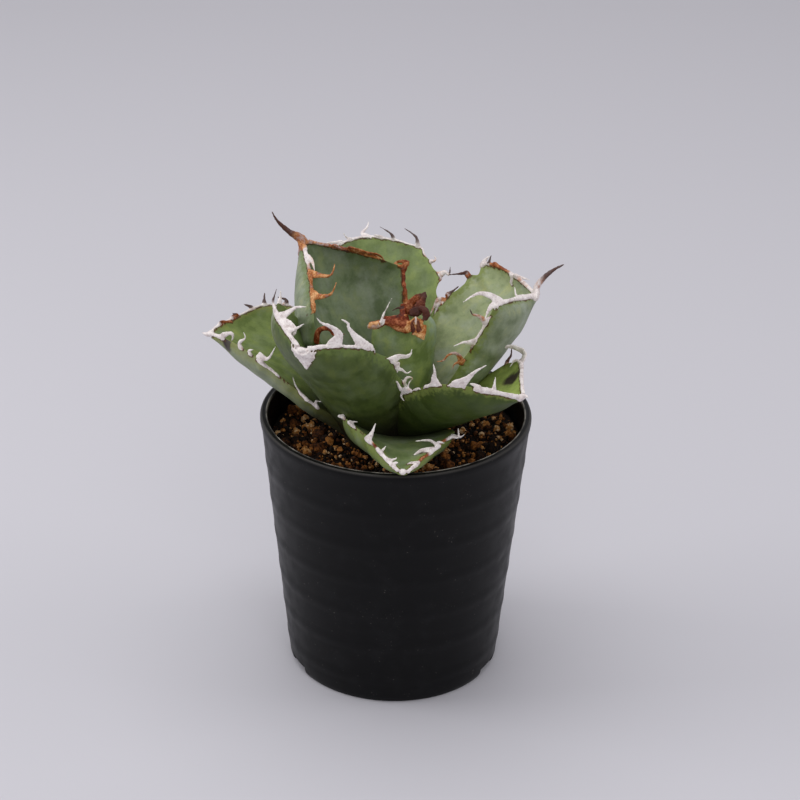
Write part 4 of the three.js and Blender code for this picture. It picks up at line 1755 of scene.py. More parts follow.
FRONT = Leaf(
    name="front", azimuth=273, rise=(28, 0), length=47, base=(9, 88.5), sweep=0.01, roll=(-6, -7),
    thick=7.4,
    ccw=Half(
        width=19.4, widest=0.37, foot=0.55, taper=1.1, cup=32, runs=((0.46, 1),),
        teeth=(
            Tooth(0.92, ((-2.1, 0.6, 1.1), (-2.8, 2.2, 0.6)), 1.6, 0.7, tone=0),
            Tooth(0.75, ((-2.1, 0.8, 1.4), (-3.6, 2, 1.7), (-5.5, 4.3, 1)), 1.9, 0.7, tone=0),
            Tooth(0.68, ((-1, -0.6, 1.5), (-2.6, -0.7, 2.9), (-5.9, 0.6, 4.1)), 1.5, 0.55, tone=0),
            Tooth(0.69, ((0.4, -1.3, 1.3), (1.6, -1.8, 0.5)), 1.2, 0.5, tone=0),
            Tooth(0.50, ((1.3, -1.2, -1), (2, -1.9, 0.9)), 1.4, 0.6),
            Tooth(0.48, ((1.6, -0.7, -1.4), (2.5, -1.4, -1.3)), 1.2, 0.5),
        ),
        band=(
            (0.53, 0.6), (0.57, 0.2), (0.63, 0.22), (0.66, 0.65), (0.72, 0.6), (0.735, 0.3), (0.76, 0.65),
            (0.80, 0.2), (0.87, 0.22), (0.90, 0.65), (0.95, 0.7), (0.965, 0.3), (0.98, 0.6),
        ),
        tones=(
            (0.53, 0.1), (0.57, 0.95), (0.63, 0.9), (0.66, 0.1), (0.77, 0.1), (0.80, 0.95), (0.87, 0.95),
            (0.90, 0),
        ),
        warmth=((0, -0.3),),
    ),
    cw=Half(
        width=18.8, widest=0.34, foot=0.55, taper=1.1, cup=38,
        runs=((0.33, 0.385), (0.45, 0.535), (0.56, 0.585), (0.635, 1)),
        teeth=(
            Tooth(0.95, ((0.2, 0.5, 1.2), (0.6, 1.2, 1.6)), 1.2, 0.5),
            Tooth(0.91, ((-0.6, 0.7, 1.2), (-0.8, 0.9, 2)), 1.4, 0.5),
            Tooth(0.83, ((-0.9, -0.9, 1.2), (-1, -1.1, 2)), 1.4, 0.5),
            Tooth(0.69, ((1.1, 0.2, 2.6), (2.4, 0.1, 5)), 2.1, 0.8),
            Tooth(0.49, ((1.2, -0.7, 0), (-0.4, 0.1, 1.6)), 1.4, 0.5),
            Tooth(0.36, ((1.2, -0.3, -0.6), (0.4, 0.1, 0.6)), 1.2, 0.5),
        ),
        band=(
            (0.33, 0.4), (0.36, 0.7), (0.385, 0.3), (0.46, 0.75), (0.535, 0.5), (0.57, 0.35), (0.64, 0.6),
            (0.71, 0.75), (0.735, 0.2), (0.765, 0.22), (0.78, 0.7), (0.97, 0.8), (1, 0.7),
        ),
        tones=((0.54, 0.1), (0.71, 0), (0.74, 0.95), (0.765, 0.9), (0.785, 0.1)),
        warmth=((0, -0.3),),
    ),
    spine=Spine(((0.2, 0, 0), (0.5, 0, -0.1)), root=1.2, body=0.5),
    skin=Skin(inner=(0.155, 0.205, 0.08), outer=(0.17, 0.22, 0.08)),
)

LOW_BACK_RIGHT = Leaf(
    name="low_back_right", azimuth=58, rise=(28, 14), length=38, base=(8.5, 88.5), sweep=0, roll=(0, 0),
    thick=6, ccw=plain_half(16, 36, 0.4, 3.3), cw=plain_half(15, 36, 0.44, 3.4), spine=HIDDEN_SPINE,
    skin=HIDDEN_SKIN,
)

LEFT = Leaf(
    name="left", azimuth=163, rise=(37, 18), length=60, base=(9, 88.5), sweep=0.12, roll=(-12, 14),
    thick=7.2,
    ccw=Half(
        width=23.2, widest=0.56, foot=0.5, taper=1.9, cup=37,
        runs=(
            (0.27, 0.39), (0.5, 0.51), (0.53, 0.54), (0.56, 0.735), (0.755, 0.785), (0.815, 0.845),
            (0.92, 1),
        ),
        teeth=(
            Tooth(0.94, ((0.9, -1.7, 1.2), (1, -3.9, 2.3), (-0.7, -3.9, 1.7), (-2, -2.5, 0.5)), 1.3, 0.6),
            Tooth(0.83, ((1.7, 0.2, 0.8), (3.1, -1.6, 2.5), (4.4, -1.2, 3)), 1.2, 0.5),
            Tooth(0.77, ((0.9, 0.5, 0.4), (1.3, -0.5, 1.1)), 0.9, 0.45),
            Tooth(0.70, ((1.4, 1.6, 1), (1.4, -1.3, 1.5), (2.5, -2.6, 2.7), (5.2, -3.1, 5.4)), 1.8, 0.8),
            Tooth(0.367, ((-1.3, 2.8, 0.3), (-2.5, 5.5, 1.4), (-3, 7.2, 2.6)), 1.3, 0.55),
            Tooth(0.29, ((0, 1.2, 0.6), (-0.3, 1.6, 1.4), (0.4, 0.7, 2.1)), 0.9, 0.4),
        ),
        band=(
            (0.27, 0.3), (0.39, 0.35), (0.5, 0.3), (0.56, 0.22), (0.66, 0.35), (0.69, 0.8), (0.735, 0.7),
            (0.77, 0.5), (0.84, 0.5), (0.92, 0.5), (0.97, 0.9), (1, 1.2),
        ),
    ),
    cw=Half(
        width=24.3, widest=0.62, foot=0.55, taper=2.3, cup=49, runs=((0.4, 1),),
        teeth=(
            Tooth(0.965, ((0.2, -1.4, 0.3), (-1, -3.9, 0.9)), 1.3, 0.6, tone=0.9),
            Tooth(0.91, ((0.3, -1.9, 0.3), (1.2, -0.8, 0.1)), 1.4, 0.6, dark=0.3, tone=0.85),
            Tooth(0.835, ((0.9, 0.4, 0), (2.2, 1.8, -0.2)), 1.3, 0.5, dark=0.7),
            Tooth(0.783, ((1.2, -0.2, 0), (3.4, -0.8, 0.1)), 1.3, 0.45, dark=0.75),
            Tooth(0.685, ((1.6, 0, 0), (2.2, 2.4, 0)), 1.2, 0.5, dark=0.9),
        ),
        band=((0.4, 0.22), (0.75, 0.35), (0.9, 0.5), (1, 0.7)),
        tones=((0.4, 0.6), (0.7, 0.4), (0.78, 0.15), (0.84, 0.3), (0.9, 0.3), (1, 0)),
        warmth=((0, -0.3),),
        swells=((0.92, -3.6), (0.83, -1.2), (0.70, -1.2)),
    ),
    spine=Spine(((1.2, 0.5, -0.5), (3, 0.5, -0.5)), root=1.8, flare=2.5),
    skin=Skin(
        inner=(0.19, 0.25, 0.07), outer=(0.20, 0.235, 0.13), bloom=0.3, mottle=0.6,
        edge_tint=(0.22, 0.24, 0.06),
        spots=(
            Spot(9.1, 55.0, 3.4, face=0),
            Spot(15, 40, 16, strength=0.25, tint=(0.31, 0.34, 0.25), face=0),
        ),
    ),
)

FRONT_RIGHT = Leaf(
    name="front_right", azimuth=318, rise=(38, 21), length=51.5, base=(6.5, 90), sweep=0.08,
    roll=(-12, 1), thick=6.4,
    ccw=Half(
        width=20.8, widest=0.78, foot=0.54, taper=1.1, cup=46, runs=((0.77, 1),),
        teeth=(
            Tooth(
                0.81,
                (
                    (2.7, -1.2, -0.4), (3.2, -2.4, 1.6), (2.8, -3, 5.3), (1.5, -1.2, 8.6),
                    (0.7, 1.2, 11.4), (0.3, 2.6, 13),
                ),
                2.2, 1.5,
            ),
            Tooth(0.825, ((0.1, -1.6, 2), (-2.1, -1, 2.8)), 1.3, 0.5),
            Tooth(0.65, ((1.2, 1, 0.2), (2.4, 1.9, 0.3), (5.2, 2.2, 0.9)), 0.8, 0.28, dark=1.0, tone=0.6),
        ),
        band=((0.77, 0.7), (0.80, 1.0), (0.9, 0.85), (1, 1.1)),
        swells=((0.68, 1),),
    ),
    cw=Half(
        width=23.2, widest=0.81, foot=0.57, taper=2.6, cup=58,
        runs=((0.415, 0.475), (0.50, 0.59), (0.61, 0.785), (0.81, 0.905), (0.925, 1)),
        teeth=(
            Tooth(0.965, ((2.6, -0.5, 0.2), (4, -0.7, 0.3)), 1.2, 0.5),
            Tooth(0.935, ((0.8, -1.6, 0.3), (0.8, -2.6, 0.4)), 1.6, 0.8),
            Tooth(0.88, ((2.6, 2.2, 0.4), (5.8, 4.2, 0.8), (8.4, 6.8, 1.1)), 2.6, 0.75),
            Tooth(0.75, ((2.2, 0.4, 0.6), (4.6, 1.6, 1.2), (6.8, 2, 1.8)), 2.0, 0.7),
            Tooth(
                0.472, ((1.1, -2.4, -0.3), (3.3, -1.9, 0.2), (4.5, -2, 0.4), (5.1, -3.8, 0.1)), 1.9, 0.8,
            ),
            Tooth(0.452, ((0, -1.9, -0.5), (-0.6, -3.1, -1), (-1.8, -3.4, -1.2)), 1.2, 0.5),
            Tooth(0.455, ((1, 1.8, 0.6), (2, 3.5, 1.3)), 0.8, 0.28, tone=0.2),
            Tooth(0.27, ((0.8, -0.3, 0), (1.6, -1.1, -0.5)), 0.9, 0.4),
        ),
        band=(
            (0.41, 0.7), (0.475, 0.8), (0.5, 0.3), (0.58, 0.45), (0.61, 0.5), (0.70, 0.85), (0.76, 0.95),
            (0.785, 0.5), (0.81, 0.4), (0.86, 0.7), (0.905, 0.5), (0.925, 1.0), (0.97, 1.5), (1, 1.1),
        ),
        swells=((0.58, 1.0), (0.67, 1.2), (0.73, 1.9), (0.80, 1.2), (0.86, 1.6), (0.955, 4.5)),
    ),
    spine=Spine(((1.3, 0.4, 0.3), (2.6, 0.2, -0.4)), root=1.8, body=0.7),
    skin=Skin(
        inner=(0.36, 0.45, 0.12), outer=(0.050, 0.078, 0.012), bloom=0.15, bloom_tint=(0.16, 0.20, 0.09),
        spots=(Spot(12.8, 41.0, 4.4),),
    ),
)

BACK = Leaf(
    name="back", azimuth=102, rise=(48, 36), length=63, base=(11, 89.5), sweep=-0.03, roll=(-4, 2),
    thick=6.5,
    ccw=Half(
        width=23, widest=0.65, foot=0.5, taper=2.3, cup=42, runs=((0.45, 1),),
        teeth=(
            Tooth(0.93, ((1.4, -4.1, -0.9), (1.2, -6.3, -1.3)), 1.2, 0.35),
            Tooth(0.965, ((1, -1.5, -0.4), (2.1, -2.2, -0.6)), 0.9, 0.28),
            Tooth(0.80, ((1.5, 0.5, 0.5), (3, 1, 1)), 1.8, 0.6),
            Tooth(0.62, ((1.5, 0, 0.5), (3, 0, 1)), 1.8, 0.6),
        ),
        band=((0.45, 0.2), (0.9, 0.2), (0.94, 0.3), (0.97, 0.5), (1, 0.6)),
    ),
    cw=Half(
        width=23.5, widest=0.7, foot=0.4, taper=2.3, cup=50, runs=((0.4, 0.54), (0.62, 0.71), (0.79, 1)),
        teeth=(
            Tooth(0.95, ((1.4, 0.7, -0.1), (2.4, 2.2, -0.1), (3.5, 4.7, 0.1)), 0.8, 0.2, dark=0.9),
            Tooth(0.875, ((2.6, 1.1, -0.1), (3.8, 3.3, 0), (4.5, 5.4, 0.2)), 1.0, 0.28, dark=0.85),
            Tooth(0.763, ((0.8, -0.5, -0.1), (1.8, -0.4, -0.2), (1.8, 0.5, -0.1)), 0.9, 0.3, tone=0.35),
            Tooth(
                0.672, ((1.9, -0.5, -0.3), (2.5, -2.1, -0.5), (4.1, -0.5, -0.5)), 1.3, 0.5, dark=0.3,
                tone=0.2,
            ),
            Tooth(0.98, ((0.5, 1.0, 0.2), (0.7, 2, 0.2)), 1.0, 0.4),
            Tooth(0.52, ((1.5, 0, 0.5), (3, 0, 1)), 1.6, 0.6),
        ),
        band=((0.4, 0.2), (0.62, 0.2), (0.71, 0.2), (0.79, 0.1), (0.84, 0.15), (0.93, 0.25), (1, 0.5)),
        tones=((0.5, 0.4), (0.62, 0.6), (0.7, 0.3), (0.8, 0.3), (0.87, 0.15), (1, 0)),
        swells=((0.76, -2.4), (0.64, 0.9), (0.55, -0.8)),
        nicks=((0.975, -0.8), (0.908, -1.1), (0.85, 0.6), (0.82, -0.6)),
    ),
    spine=Spine(((2, 1.4, -0.5), (4.3, -0.6, -0.6), (6.8, -1.4, -0.8)), root=1.8, body=0.65),
    skin=Skin(
        inner=(0.19, 0.25, 0.085), outer=(0.15, 0.20, 0.08), bloom=0.2, mottle=0.5,
        edge_tint=(0.24, 0.31, 0.09),
    ),
)

FRONT_LEFT = Leaf(
    name="front_left", azimuth=223, rise=(61, 40), length=62, base=(10.5, 89), sweep=0.18, roll=(-4, 10),
    thick=7.6,
    ccw=Half(
        width=21.8, widest=0.56, foot=0.55, taper=2.4, cup=70,
        runs=((0.17, 0.18), (0.545, 0.665), (0.73, 1)),
        teeth=(
            Tooth(
                0.927,
                ((2.2, -1.1, 0.1), (4, -1, 0.2), (6.1, 1.6, 0.6), (7.3, 4.5, 0.9), (8.7, 5.8, 1.1)), 2.8,
                0.85,
            ),
            Tooth(0.82, ((2.3, 2.6, 0.5), (5.4, 5.9, 1.1), (6.7, 6.2, 1.3), (7.5, 8.1, 1.6)), 2.4, 1.1),
            Tooth(0.79, ((0.8, 1.8, 0.3), (1.9, 4.0, 0.5)), 1.2, 1.0),
            Tooth(0.613, ((2.1, -0.5, 0), (4, -2.5, -0.3), (5.6, -3, -0.3)), 2.5, 1.15),
            Tooth(0.608, ((2.1, -0.5, 0), (4.6, -3.4, -0.3), (6.3, -2.1, -0.3)), 1.0, 0.5),
            Tooth(
                0.573, ((-0.2, -1.6, -0.4), (0.8, -3.2, -1.1), (1.4, -5, -1.8), (2.4, -5.2, -1.9)), 1.5,
                0.5,
            ),
            Tooth(0.56, ((-0.5, -1.2, -0.3), (-0.8, -2, -0.5)), 1.2, 0.55),
            Tooth(0.403, ((1.5, 1.2, 0.2), (2.9, 0.1, -0.2), (1.8, -1, -0.4)), 0.8, 0.28, tone=0.4),
            Tooth(0.347, ((-0.4, 3.1, 1), (-2.2, 4.6, 1.5)), 1.3, 0.55),
            Tooth(0.24, ((0.5, 1.5, 0.3), (-0.6, 2.6, 0.6)), 0.9, 0.4),
            Tooth(0.18, ((0.3, 1.3, 0.3), (0, 2.6, 0.5)), 0.8, 0.35),
        ),
        band=(
            (0.545, 0.5), (0.57, 0.6), (0.62, 1.0), (0.665, 0.5), (0.73, 0.3), (0.76, 0.4), (0.85, 0.65),
            (0.88, 0.6), (0.93, 0.8), (0.96, 0.9), (1, 1.2),
        ),
        nicks=((0.873, -1.3), (0.91, 0.5), (0.80, 0.4)),
    ),
    cw=Half(
        width=28.6, widest=0.66, foot=0.55, taper=2.4, cup=59, runs=((0.79, 1),),
        teeth=(
            Tooth(0.885, ((2.5, -2.5, -0.7), (4.6, -3.1, -0.3), (6.4, -3.4, 0.2)), 1.6, 0.6, dark=0.6),
            Tooth(0.912, ((3.2, 1.8, 1.6), (5.4, 3.2, 2.8), (6.6, 4, 3.5), (8.2, 6.7, 5.1)), 2.6, 0.9),
            Tooth(0.93, ((1.3, 2.4, 1.2), (1.3, 5.5, 2.3), (-0.9, 5.7, 1.8), (-3.2, 4, 0.7)), 2.0, 0.9),
            Tooth(0.96, ((1.5, 1.2, 0.6), (2.9, 2.4, 1.2), (5.4, 3.9, 2)), 1.6, 0.5),
            Tooth(0.70, ((1.5, 0, 0.5), (3, 0.5, 1)), 1.8, 0.6),
        ),
        band=(
            (0.79, 0.3), (0.84, 0.5), (0.87, 1.0), (0.90, 1.3), (0.92, 0.4), (0.94, 0.9), (0.97, 0.8),
            (1, 1.4),
        ),
    ),
    spine=Spine(((0.2, 0, -0.2), (0.6, 0.2, -0.6)), root=2.2, body=1.0, flare=2.0, cap=(9.0, 3.8)),
    skin=Skin(
        inner=(0.12, 0.17, 0.05), outer=(0.070, 0.10, 0.022), bloom=0.25, mottle=0.6, base_shade=1.0,
        edge_tint=(0.13, 0.18, 0.045), bloom_tint=(0.20, 0.25, 0.14),
        # Painted light: the two pale patches lighten the outer face's left-hand side, where light from the
        # left falls.
        spots=(
            Spot(-24, 46, 13, strength=0.75, tint=(0.30, 0.33, 0.22), face=0),
            Spot(-22, 28, 11, strength=0.55, tint=(0.26, 0.29, 0.18), face=0),
        ),
    ),
)

RIGHT = Leaf(
    name="right", azimuth=15, rise=(43, 50), length=58, base=(6.5, 91), sweep=-0.08, roll=(12, -17),
    thick=6.6,
    ccw=Half(
        width=26.6, widest=0.85, foot=0.57, taper=1.8, cup=59,
        runs=((0.515, 0.55), (0.57, 0.59), (0.72, 0.755), (0.81, 1)),
        teeth=(
            Tooth(0.953, ((0.3, 1.2, -0.4), (-0.4, 4.3, -2)), 1.2, 0.5, tone=0.35),
            Tooth(
                0.943, ((-1.5, 0.2, 0.8), (-2.9, 0.3, 1.6), (-4.2, 2, 1.3), (-6, 2.7, 1.8)), 1.1, 0.42,
                tone=0.1,
            ),
            Tooth(0.885, ((-0.2, 1.4, -0.2), (-0.6, 3.4, -0.6)), 1.3, 0.65, dark=0.2, tone=0.9),
            Tooth(0.861, ((0.8, 0.3, 0), (2.2, 0.9, -0.1)), 0.7, 0.3, dark=1.0),
            Tooth(0.835, ((1.2, 1, 0), (1.6, 2.2, -0.1)), 1.8, 1, tone=0),
            Tooth(
                0.73, ((0.9, 0.4, 0.1), (1.9, -0.9, 0.1), (4.6, -3.6, 0.2)), 1.0, 0.35, dark=0.75,
                tone=0.7,
            ),
            Tooth(0.58, ((-0.3, 1.2, 0), (-0.8, 3.9, 0.1)), 1.0, 0.42, dark=0.75, tone=0.5),
            Tooth(0.537, ((1.4, -0.6, 0), (1.2, -3, 0.1), (0.6, -5.8, 0.1)), 1.5, 0.55, tone=0.45),
            Tooth(0.531, ((0.2, -2, 0), (-1.1, -4, 0)), 1.1, 0.45, tone=0.2),
        ),
        band=(
            (0.515, 0.5), (0.59, 0.25), (0.72, 0.35), (0.755, 0.35), (0.82, 0.8), (0.86, 0.8),
            (0.875, 0.6), (0.915, 0.5), (0.935, 0.4), (1, 0.8),
        ),
        tones=(
            (0.5, 0.5), (0.6, 0.6), (0.7, 0.8), (0.76, 0.8), (0.82, 0), (0.86, 0.1), (0.875, 0.95),
            (0.915, 0.85), (0.94, 0.4), (0.97, 0.5), (1, 0.1),
        ),
        warmth=((0, -0.2),),
        swells=((0.92, -3.2), (0.845, 2.0), (0.79, -1.8), (0.735, 1.2)),
        nicks=((0.82, 0.8), (0.778, -1.9), (0.745, 1.0), (0.70, -1.0), (0.89, -0.8)),
    ),
    cw=Half(
        width=25.5, widest=0.9, foot=0.53, taper=1.8, cup=63,
        runs=((0.50, 0.53), (0.585, 0.845), (0.885, 1)),
        teeth=(
            Tooth(0.985, ((1.2, -2.6, 0.8), (3.5, -2, 0.4)), 1.4, 0.5),
            Tooth(
                0.935,
                ((1.6, -1.2, 0.3), (3.2, -2.5, 0.6), (5.3, -6, 1.6), (5.4, -9.5, 2.5), (4.8, -13.2, 3.6)),
                2.4, 0.75,
            ),
            Tooth(0.925, ((0, -3, 0.8), (-2.2, -6, 1.6)), 1.9, 0.9),
            Tooth(
                0.80, ((2.2, 1.1, 0.5), (4.0, 1.6, 0.9), (5.6, 1.7, 1.2), (6.6, 2.8, 1.5)), 1.4, 0.5,
                dark=0.3, tone=0.5,
            ),
            Tooth(0.655, ((2.3, -1, 0.5), (3.3, -1.2, 0.7), (5.4, -3.2, 1.1)), 1.4, 0.38, tone=0.2),
            Tooth(0.511, ((2.1, -1.3, 0.3), (2.1, -2.8, 0.1)), 0.9, 0.35, tone=0.7),
            Tooth(
                0.508,
                ((2.4, 2.1, 0.9), (4.5, 2.2, 1.5), (6, 0.9, 1.6), (6.7, -1, 1.4), (8.2, -1.6, 1.7)), 1.2,
                0.42, tone=0.7,
            ),
        ),
        band=(
            (0.5, 0.4), (0.60, 0.25), (0.66, 0.35), (0.70, 0.35), (0.76, 0.6), (0.80, 0.85), (0.84, 0.5),
            (0.885, 0.6), (0.93, 0.9), (0.96, 0.8), (1, 1.4),
        ),
        tones=((0.5, 0.9), (0.6, 0.8), (0.66, 0.35), (0.76, 0.2), (0.8, 0.15), (0.84, 0.3), (0.89, 0)),
        swells=((0.93, 4),),
        nicks=((0.975, -1.4), (0.955, 0.6), (0.90, -0.8)),
    ),
    spine=Spine(
        ((2, 1.1, 1.5), (4.6, 1, 2.1), (8.4, 0.4, 2.2), (11.8, -0.3, 1.8), (14.8, -1, 1)), root=3.4,
        body=2.0, dark=0.6, tone=0.42, flare=4.5,
        warmth=-0.3,
    ),
    skin=Skin(
        inner=(0.33, 0.38, 0.20), outer=(0.23, 0.27, 0.17), bloom=0.6, mottle=0.6,
        bloom_tint=(0.40, 0.44, 0.36),
    ),
)

BACK_LEFT = Leaf(
    name="back_left", azimuth=146, rise=(50, 70), length=60, base=(8.5, 92), sweep=-0.04, roll=(-16, 10),
    thick=6.4,
    ccw=Half(
        width=30.4, widest=0.61, foot=0.5, taper=1.1, cup=67, runs=((0.49, 0.52), (0.665, 1)),
        teeth=(
            Tooth(0.93, ((1.1, -2.5, 0.8), (0.5, -5.5, 1.5)), 1.5, 0.75, tone=0.3),
            Tooth(
                0.852, ((2.5, -2.4, 1.1), (5.9, -5, 2.5), (7.8, -4.7, 2.8), (9.3, -2.9, 2.6)), 1.7, 0.85,
            ),
            Tooth(
                0.753, ((1.8, -1.9, 1), (5.6, -3.7, 2.5), (7.8, -3.2, 2.8), (9.3, -1.7, 2.8)), 1.8, 0.9,
            ),
            Tooth(0.694, ((-0.8, -2.1, 0.3), (-3.2, -2, -0.5)), 1.4, 0.75),
            Tooth(
                0.508,
                ((0.9, 3.2, 0.9), (3.4, 4.4, 2.3), (5.9, 3.9, 3.4), (6.9, 2.3, 3.6), (10.5, 3, 5.4)), 1.4,
                0.95, tone=1,
            ),
        ),
        band=(
            (0.49, 0.5), (0.52, 0.5), (0.665, 0.6), (0.70, 0.75), (0.75, 0.9), (0.80, 0.7), (0.85, 0.9),
            (0.88, 0.7), (0.92, 1.05), (0.97, 1.05), (1, 1.4),
        ),
        tones=((0.87, 0.8), (0.91, 0.3), (0.95, 0.15), (1, 0.55)),
        warmth=((0.51, -0.6), (0.66, 0.25), (0.75, 0.45), (0.80, 0.1), (0.87, 0.4), (1, 0.2)),
        swells=((0.77, 1.5),),
    ),
    cw=Half(
        width=31, widest=0.69, foot=0.3, taper=1.35, cup=84, runs=((0.33, 0.72), (0.765, 1)),
        teeth=(
            Tooth(0.93, ((-0.1, -1.7, 0.3), (-0.4, -4, 0.7)), 1.7, 0.9, dark=0.3, tone=0.6),
            Tooth(0.885, ((0.7, -5.8, 0.4), (1.4, -9.4, 0.5), (-0.2, -12.3, 1.4)), 2.2, 1.5, tone=0.85),
            Tooth(
                0.67, ((1.2, 0.8, -0.2), (2.3, 1.4, -0.3), (-0.9, 3, 0.2), (-4, 2.3, 0.6)), 1.3, 0.8,
                tone=0.85,
            ),
        ),
        band=(
            (0.33, 1.7), (0.46, 1.6), (0.52, 1.3), (0.6, 0.9), (0.68, 1.0), (0.72, 0.8), (0.765, 0.6),
            (0.84, 0.8), (0.89, 0.6), (0.93, 0.4), (0.98, 0.6), (1, 1),
        ),
        tones=((0.36, 1), (0.9, 0.85), (0.96, 0.55), (1, 0.5)),
        warmth=(
            (0.36, -0.9), (0.42, -0.6), (0.46, 0.1), (0.52, -0.2), (0.57, -0.8), (0.66, -0.6),
            (0.70, 0.5), (0.76, 0.3), (0.84, 0.8), (0.9, -0.5), (1, 0),
        ),
    ),
    spine=Spine(
        ((2, 0.9, -0.3), (4.4, 3.3, -1.6), (7.6, 5.8, -2.8), (10.7, 7.6, -3.6), (13.4, 8.5, -3.8)),
        root=3.0, body=1.4, dark=0.72, tone=0.7, flare=3.2, cap=(9.5, 3.2),
        warmth=0.1,
    ),
    skin=Skin(
        inner=(0.155, 0.20, 0.10), outer=(0.26, 0.30, 0.20), bloom=0.6, mottle=0.6, base_shade=0.5,
        edge_tint=(0.15, 0.20, 0.07), bloom_tint=(0.30, 0.34, 0.26),
    ),
    slot=Slot.DRIED,
)

HEART = Leaf(
    name="heart", azimuth=286, rise=(89, 72), length=46, base=(7, 90), sweep=-0.02, roll=(7, 2), thick=6,
    ccw=Half(
        width=16.3, widest=0.75, foot=0.42, taper=1.4, cup=69, runs=((0.9, 1),),
        band=((0.0, 0.3),),
        tones=((0.0, 0.9),),
    ),
    cw=Half(
        width=11, widest=0.8, foot=0.38, taper=2.1, cup=72, runs=((0.9, 1),),
        band=((0.0, 0.3),),
        tones=((0.0, 0.9),),
    ),
    spine=Spine(((0.5, 0, -0.2), (1.5, 0.3, -0.5)), root=1.2, body=0.6, tone=0.9),
    skin=Skin(
        inner=(0.24, 0.30, 0.12), outer=(0.25, 0.32, 0.12), bloom=0.5, mottle=0.7, base_shade=1.0,
        edge_tint=(0.24, 0.30, 0.11), bloom_tint=(0.34, 0.40, 0.34),
        spots=(
            Spot(15, 36, 9, strength=0.6, tint=(0.28, 0.36, 0.31), face=0),
            Spot(14, 24, 8, strength=0.5, tint=(0.20, 0.27, 0.21), face=0),
        ),
    ),
    slot=Slot.DRIED,
)

LEAVES = (
    LOW_BACK_LEFT, FRONT, LOW_BACK_RIGHT, LEFT, FRONT_RIGHT, BACK,
    FRONT_LEFT, RIGHT, BACK_LEFT, HEART,
)

COLLAR_SCALES = (
    Scale(
        (
            (-8.2, -14.8, 131.9), (-5.7, -15.2, 132.2), (-3.4, -15.4, 133.3), (-1.4, -15.6, 133.4),
            (0.7, -15.9, 132.8), (2.5, -16.1, 132.4), (4.5, -16.3, 132.3), (5.6, -16.2, 132.7),
        ),
        (0.9, 1.5, 1.1, 1.4, 2.0, 2.4, 2.3, 1.7), thick=0.9,
        warmth=-0.6,
    ),
    Scale(
        (
            (2.6, -12.6, 138.6), (2.6, -13.2, 137.2), (2.6, -14.2, 135.9), (2.7, -15.5, 134.4),
            (3.1, -16.3, 132.4),
        ),
        (0.9, 1.0, 1.2, 1.9, 1.6), thick=0.8,
        warmth=-0.8,
    ),
    Scale(
        ((-3.4, -14.6, 134.6), (-1.2, -14.8, 134.5), (1.1, -15, 134.6), (3.4, -15, 134.6)),
        (0.4, 0.7, 1.0, 1.3), thick=0.6,
        warmth=-1,
        dark=0.2,
    ),
    Scale(
        ((-8.4, -15, 131.2), (-6.8, -15.9, 132.2), (-5, -16, 132.9)), (0.8, 1.4, 0.9), thick=0.9,
        tone=0.6,
        warmth=0.4,
    ),
    Scale(
        ((0, -16.4, 131.6), (2.3, -16.7, 131.2), (4.8, -16.8, 130.8)), (0.6, 0.8, 0.8), thick=0.6,
        warmth=-0.1,
    ),
    Scale(
        ((5.2, -16.9, 133.2), (4.4, -17.1, 131.9), (4.7, -17.1, 130.9)), (0.4, 0.5, 0.4), thick=0.4,
        tone=0.8,
        warmth=0.8,
    ),
    Scale(
        (
            (4.3, -13, 135.2), (4.7, -12.5, 137.7), (5.8, -12.2, 139.4), (7.4, -12, 140.6),
            (8.9, -12, 141.3), (9.9, -12, 142.8),
        ),
        (1.2, 1.3, 1.5, 1.3, 1.0, 0.15), thick=0.5,
        warmth=-0.4,
        dark_tip=0.9,
    ),
    Scale(
        (
            (4.7, -14, 135.9), (6.7, -14, 136.4), (8.3, -13.6, 138.8), (9.4, -12.8, 140.9),
            (10, -12.2, 142.6),
        ),
        (1.0, 1.8, 1.5, 0.9, 0.15), thick=0.5,
        warmth=-1,
        dark=0.55, dark_tip=0.95,
    ),
    Scale(
        ((4.9, -14.8, 136.5), (6.5, -15, 137), (7.8, -14.8, 137.5)), (1.0, 1.7, 1.1), thick=0.4,
        warmth=-1,
        dark=1.0,
    ),
    Scale(
        ((7.8, -14.8, 138.5), (9.4, -15.4, 138), (10.1, -15.8, 136.5), (9.7, -16, 134.6)),
        (0.6, 1.1, 1.4, 0.7), thick=1.0, tone=0.8,
        warmth=-1,
        dark=0.7,
    ),
    Scale(
        ((5.4, -16.6, 134.8), (6.8, -17.2, 133.1), (8.2, -17.8, 131.2), (9.5, -18.2, 128.4)),
        (1.8, 2.8, 2.4, 0.25), thick=0.35, tone=0.9,
        warmth=1.0,
    ),
    Scale(
        ((5.8, -17.4, 135), (5.6, -17.8, 132.9), (6.1, -18.1, 131.3)), (0.4, 0.5, 0.2), thick=0.3,
        warmth=-1,
        dark=0.6,
    ),
    Scale(
        ((7.5, -17.6, 135), (7.6, -18, 133), (8.0, -18.3, 131.6)), (0.35, 0.45, 0.2), thick=0.3,
        warmth=-1,
        dark=0.6,
    ),
    Scale(
        ((6.7, -17.3, 136.2), (6.9, -17.7, 134.6), (6.7, -17.9, 133.6)), (0.25, 0.35, 0.2), thick=0.3,
        tone=0.5,
        warmth=1.0,
    ),
    Scale(
        (
            (-4.4, -16.2, 133.2), (-4.1, -15.6, 134.6), (-3.6, -15, 135.9), (-2.6, -14.2, 137.8),
            (-1, -13.4, 141),
        ),
        (0.25, 0.45, 0.28, 0.2, 0.1), thick=0.25, tone=0.1,
    ),
    Scale(
        ((2.6, -13.2, 137.4), (0.8, -13.2, 137.3), (-0.9, -13.2, 136.3)), (0.35, 0.28, 0.12), thick=0.3,
        warmth=-1,
        dark=1.0,
    ),
)


